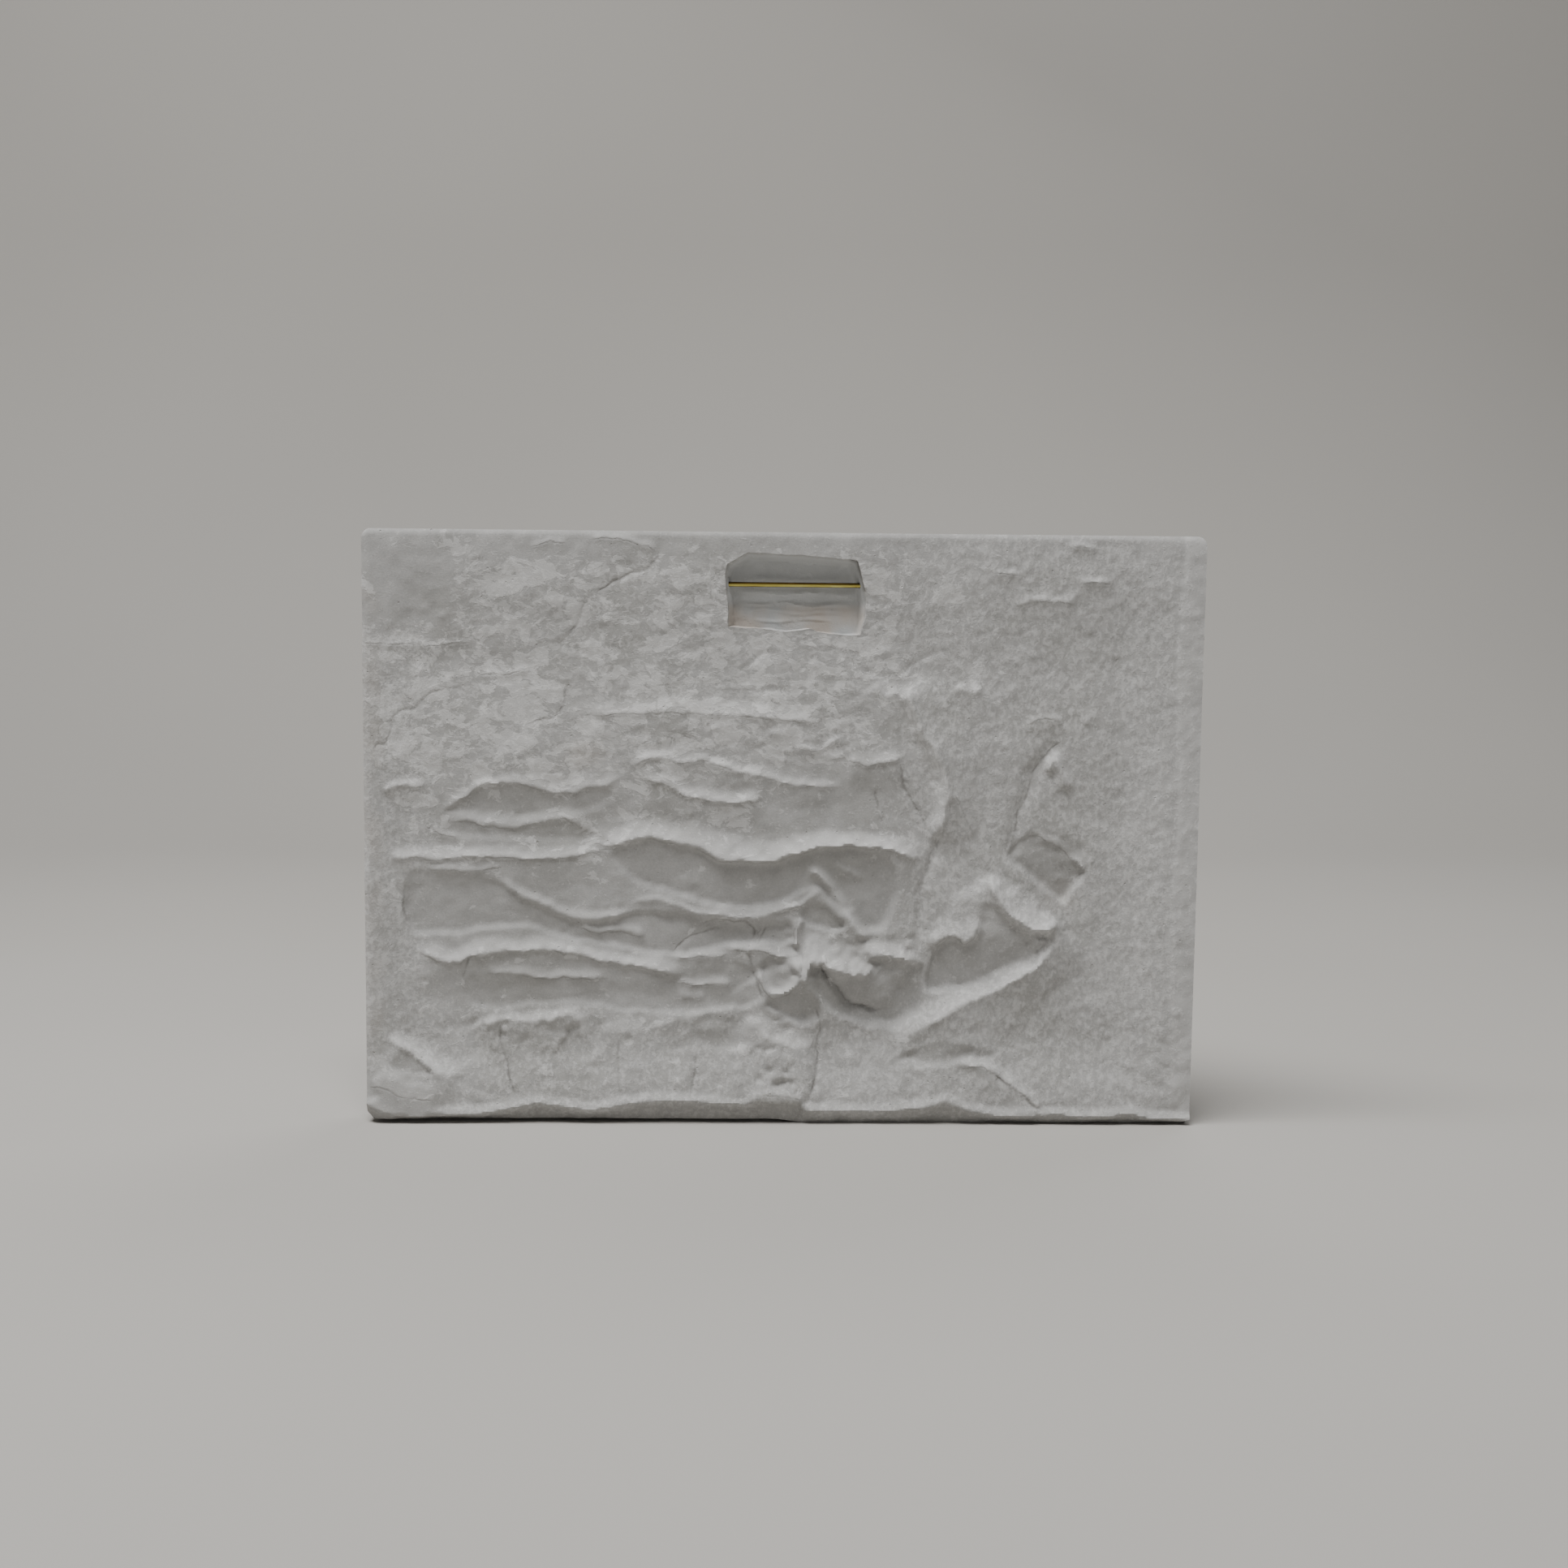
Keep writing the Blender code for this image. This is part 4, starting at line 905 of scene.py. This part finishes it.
def gypsum_plaster():
    made, tree, shader, where = shader_of("aged_gypsum_plaster")
    mark = {name: add(tree, "Attribute", {"attribute_name": name}, output="Fac") for name in MARKS}
    pattern = {}
    for name, (size_mm, detail, distortion, stops) in PATTERNS.items():
        settings = {"Scale": 1000 / size_mm, "Detail": detail, "Distortion": distortion}
        noise = add(tree, "TexNoise", settings, {"Vector": where})
        pattern[name] = add(tree, "ValToRGB", {"stops": stops}, {"Fac": noise})
    # Thin dark lines wander by a millimetre, and are open in parts and closed in others: painted shade at the
    # feet of lips, and dirt and painted shade in the cracks of grooves
    wander = add(tree, "TexNoise", {"Scale": 1000 / 3, "Detail": 4}, {"Vector": where})
    wander = add(tree, "Math", {"operation": "MULTIPLY_ADD", 1: 2.0, 2: -1.0}, {0: wander})
    cracks_and_lip_shade = None
    for name, half_mm, strength in (("crack", 1.28, 0.8), ("lip", 0.96, 0.6)):
        away = add(tree, "Math", {"operation": "ADD"}, {0: mark[name + "_mm"], 1: wander})
        away = add(tree, "Math", {"operation": "ABSOLUTE"}, {0: away})
        settings = {"From Max": half_mm, "To Min": strength, "To Max": 0.0}
        line = add(tree, "MapRange", settings, {"Value": away})
        line = add(tree, "Math", {"operation": "MULTIPLY"}, {0: line, 1: pattern["open_parts"]})
        line = add(tree, "Math", {"operation": "MULTIPLY"}, {0: line, 1: mark[name + "_near"]})
        cracks_and_lip_shade = add(tree, "Math", {"operation": "ADD"}, {0: line, 1: cracks_and_lip_shade}) if cracks_and_lip_shade else line
    # Heights in metres, for the bump: a grain drawn as coarse as it shows, films, pin holes and cracks
    height = add(tree, "TexNoise", {"Scale": 1000 / 1.0, "Detail": 3}, {"Vector": where})
    height = add(tree, "Math", {"operation": "MULTIPLY", 1: 0.00018}, {0: height})
    # The slush lies as a paler film in level islands, over a greyer ground; on the right it is dabbed on. The
    # film starts from the painted highlight on the crests and edges.
    film_and_highlight = mark["rubbed"]
    for size_mm, detail, distortion, stretch, roughness, name, (start, whole), share, rise in FILMS:
        settings = {"Scale": 1000 / size_mm, "Detail": detail, "Distortion": distortion}
        settings["Roughness"] = roughness
        spots = add(tree, "Mapping", {"Scale": stretch}, {"Vector": where})
        spots = add(tree, "TexNoise", settings, {"Vector": spots})
        spots = add(tree, "Math", {"operation": "MULTIPLY_ADD", 1: 0.2}, {0: mark[name], 2: spots})
        spots = add(tree, "ValToRGB", {"stops": [(start, 0.0), (whole, 1.0)]}, {"Fac": spots})
        film_and_highlight = add(tree, "Math", {"operation": "MULTIPLY_ADD", 1: share}, {0: spots, 2: film_and_highlight})
        height = add(tree, "Math", {"operation": "MULTIPLY_ADD", 1: rise}, {0: spots, 2: height})
    holes = add(tree, "TexVoronoi", {"Scale": 95.0, "Randomness": 1.0}, {"Vector": where})
    holes = add(tree, "ValToRGB", {"stops": [(0.03, 1.0), (0.07, 0.0)]}, {"Fac": holes})
    for dent in (holes, cracks_and_lip_shade):
        height = add(tree, "Math", {"operation": "MULTIPLY_ADD", 1: -0.0004}, {0: dent, 2: height})
    bump = add(tree, "Bump", {"Strength": 1.0, "Distance": 1.0}, {"Height": height})
    tree.links.new(bump, shader.inputs["Normal"])
    # The ground is a warm grey with clouds, blotches and fine speckle, and coats of other tones lie over it
    colour = pattern["clouds"]
    for name, share in (("blotches", 0.25), ("speckle", 0.22)):
        settings = {"data_type": "RGBA", "blend_type": "OVERLAY", 0: share}
        colour = add(tree, "Mix", settings, {6: colour, 7: pattern[name]}, 2)
    # Coats: the paler film also holds the painted highlight of crests and edges; the dark grey coat is
    # painted shade; the pale coat in the pocket is painted light; the darkest is dirt and painted shade in
    # cracks, and painted shade at lips' feet
    for coat, share, tone in (
        (film_and_highlight, 1.0, "#d5d4d2"), (mark["dusty"], 0.2, "#6f6c67"), (mark["pocketed"], 0.75, "#d3d5d5"),
        (mark["stained"], 0.5, "#c6b6a6"), (pattern["specks"], 0.12, "#8d8579"), (cracks_and_lip_shade, 0.5, "#5c5852"),
    ):
        coat = add(tree, "Math", {"operation": "MULTIPLY", 1: share}, {0: coat})
        colour = add(tree, "Mix", {"data_type": "RGBA", 7: tone}, {0: coat, 6: colour}, 2)
    tree.links.new(colour, shader.inputs["Base Color"])
    shader.inputs["Roughness"].default_value = 0.92
    shader.inputs["Specular IOR Level"].default_value = 0.25
    return made


plaster.data.materials.clear()
plaster.data.materials.append(gypsum_plaster())
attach(plaster, "root")
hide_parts("plaster_panel")


# The rod is hard-drawn brass wire about 3 mm thick, cut to length and set across the pocket while the plaster
# was wet. It was never polished, so it is dark brown with a dull bloom. A painted reflection lies on it:
# bright yellow along its lower middle, where the pale floor would show, and dark above and below.
def tarnished_brass():
    made, tree, shader, where = shader_of("tarnished_brass")
    streaks = add(tree, "Mapping", {"Scale": (0.35, 1.0, 1.0)}, {"Vector": where})
    settings = {"Scale": 1000 / 6, "Detail": 4, "Distortion": 0.4}
    streaks = add(tree, "TexNoise", settings, {"Vector": streaks})
    bright = [(0.3, "#bfae57"), (0.5, "#cfc26b"), (0.7, "#ddd483")]
    dark = [(0.3, "#241a07"), (0.5, "#33250b"), (0.7, "#463512")]
    bright, dark = (add(tree, "ValToRGB", {"stops": stops}, {"Fac": streaks}) for stops in (bright, dark))
    # The bright band, a painted reflection, is found from the height on the bar, leaving the top and bottom
    # dark
    height = add(tree, "SeparateXYZ", links={"Vector": where}, output="Z")
    height = add(tree, "Math", {"operation": "MULTIPLY_ADD", 1: 0.5 / rod_radius, 2: 0.4}, {0: height})
    height = add(tree, "Math", {"operation": "MULTIPLY_ADD", 1: 0.2}, {0: streaks, 2: height})
    band = [(0.02, 0.0), (0.16, 1.0), (0.5, 1.0), (0.66, 0.0)]
    band = add(tree, "ValToRGB", {"stops": band}, {"Fac": height})
    colour = add(tree, "Mix", {"data_type": "RGBA"}, {0: band, 6: dark, 7: bright}, 2)
    tree.links.new(colour, shader.inputs["Base Color"])
    shader.inputs["Metallic"].default_value = 1.0
    bloom = add(tree, "TexNoise", {"Scale": 1000 / 3, "Detail": 3}, {"Vector": where})
    bloom = add(tree, "ValToRGB", {"stops": [(0.35, 0.35), (0.7, 0.5)]}, {"Fac": bloom})
    tree.links.new(bloom, shader.inputs["Roughness"])
    # Fine marks of the die run along it, half a millimetre apart
    drawn = add(tree, "Mapping", {"Scale": (0.1, 1.0, 1.0)}, {"Vector": where})
    drawn = add(tree, "TexNoise", {"Scale": 1000 / 0.5, "Detail": 2}, {"Vector": drawn})
    drawn = add(tree, "Math", {"operation": "MULTIPLY", 1: 0.00002}, {0: drawn})
    bump = add(tree, "Bump", {"Strength": 1.0, "Distance": 1.0}, {"Height": drawn})
    tree.links.new(bump, shader.inputs["Normal"])
    return made


rod = round_bar("brass_rod", rod_length, rod_radius, bow=0.00004, dents=0.05)
rod.data.materials.append(tarnished_brass())
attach(rod, "root")
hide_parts("hanging_rod")


# The floor is a matt pale sweep of paper that bends up behind, as in a studio.
def paper_sweep(name):
    """A profile across the depth, flat, then a quarter circle, then upright, carried along X."""
    half_width, front_edge, bend_start, bend, top = 3.0, -3.2, 1.3, 0.8, 2.4
    turn = np.linspace(0, math.pi / 2, 24)
    y = np.r_[front_edge, bend_start + bend * np.sin(turn), bend_start + bend]
    z = np.r_[0, bend * (1 - np.cos(turn)), top] + panel_low.z
    x = np.linspace(-half_width, half_width, 9)
    across, depth = np.meshgrid(x, y)
    points = np.column_stack([across.ravel(), depth.ravel(), np.repeat(z, len(x))])
    return new_piece(name, points, grid_quads(len(x) - 1, len(y) - 1, 0).tolist())


def matt_paper():
    made, tree, shader, where = shader_of("matt_paper")
    shade = add(tree, "TexNoise", {"Scale": 1000 / 900, "Detail": 2}, {"Vector": where})
    shade = add(tree, "ValToRGB", {"stops": [(0.3, "#aeaba6"), (0.7, "#b4b1ac")]}, {"Fac": shade})
    tree.links.new(shade, shader.inputs["Base Color"])
    shader.inputs["Roughness"].default_value = 0.95
    return made


floor = paper_sweep("paper_sweep")
floor.data.materials.append(matt_paper())


# The studio: one broad soft lamp above and in front, weak lamps before and behind, even light all round.
def soft_lamp(name, place, towards, width, depth, watts):
    data = bpy.data.lights.new(name, "AREA")
    data.shape = "RECTANGLE"
    data.size, data.size_y, data.energy = width, depth, watts
    lamp = bpy.data.objects.new(name, data)
    lamp.location = place
    lamp.rotation_euler = (Vector(towards) - Vector(place)).to_track_quat("-Z", "Y").to_euler()
    bpy.context.collection.objects.link(lamp)


panel_middle = (panel_low + panel_high) / 2
soft_lamp("top_lamp", (-0.75, -0.9, 2.75), panel_middle, 2.4, 0.9, 142)
soft_lamp("front_lamp", (-0.5, -2.4, 0.5), panel_middle, 1.2, 1.2, 2)
soft_lamp("rear_lamp", (0.7, 1.2, 1.3), panel_middle, 1.2, 0.8, 10)
world = bpy.data.worlds.new("studio")
world.use_nodes = True
world.node_tree.nodes["Background"].inputs["Color"].default_value = (1.0, 1.0, 1.0, 1.0)
world.node_tree.nodes["Background"].inputs["Strength"].default_value = 0.085
bpy.context.scene.world = world

# The camera stands a little left of and above the plaque, where the photo's own keystone and tilt put it.
image_side = 1932
panel_px_wide = 1030
panel_middle_px = (965, 1025)
view_angle = math.radians(35)
yaw, pitch, roll = math.radians(-1.9), math.radians(6.25), math.radians(0.61)
camera_data = bpy.data.cameras.new("camera")
camera_data.angle = view_angle
camera = bpy.data.objects.new("camera", camera_data)
bpy.context.collection.objects.link(camera)
view_width = panel_width * image_side / panel_px_wide
distance = view_width / 2 / math.tan(view_angle / 2)
turned = Matrix.Rotation(yaw, 4, "Z") @ Matrix.Rotation(math.pi / 2 - pitch, 4, "X")
turned = turned @ Matrix.Rotation(roll, 4, "Z")
aside = (image_side / 2 - panel_middle_px[0]) / image_side * view_width
raised = (panel_middle_px[1] - image_side / 2) / image_side * view_width
face_middle = Vector((panel_middle.x, rim_y, panel_middle.z))
away_from_face = Matrix.Translation((aside, raised, distance))
camera.matrix_world = Matrix.Translation(face_middle) @ turned @ away_from_face
bpy.context.scene.camera = camera
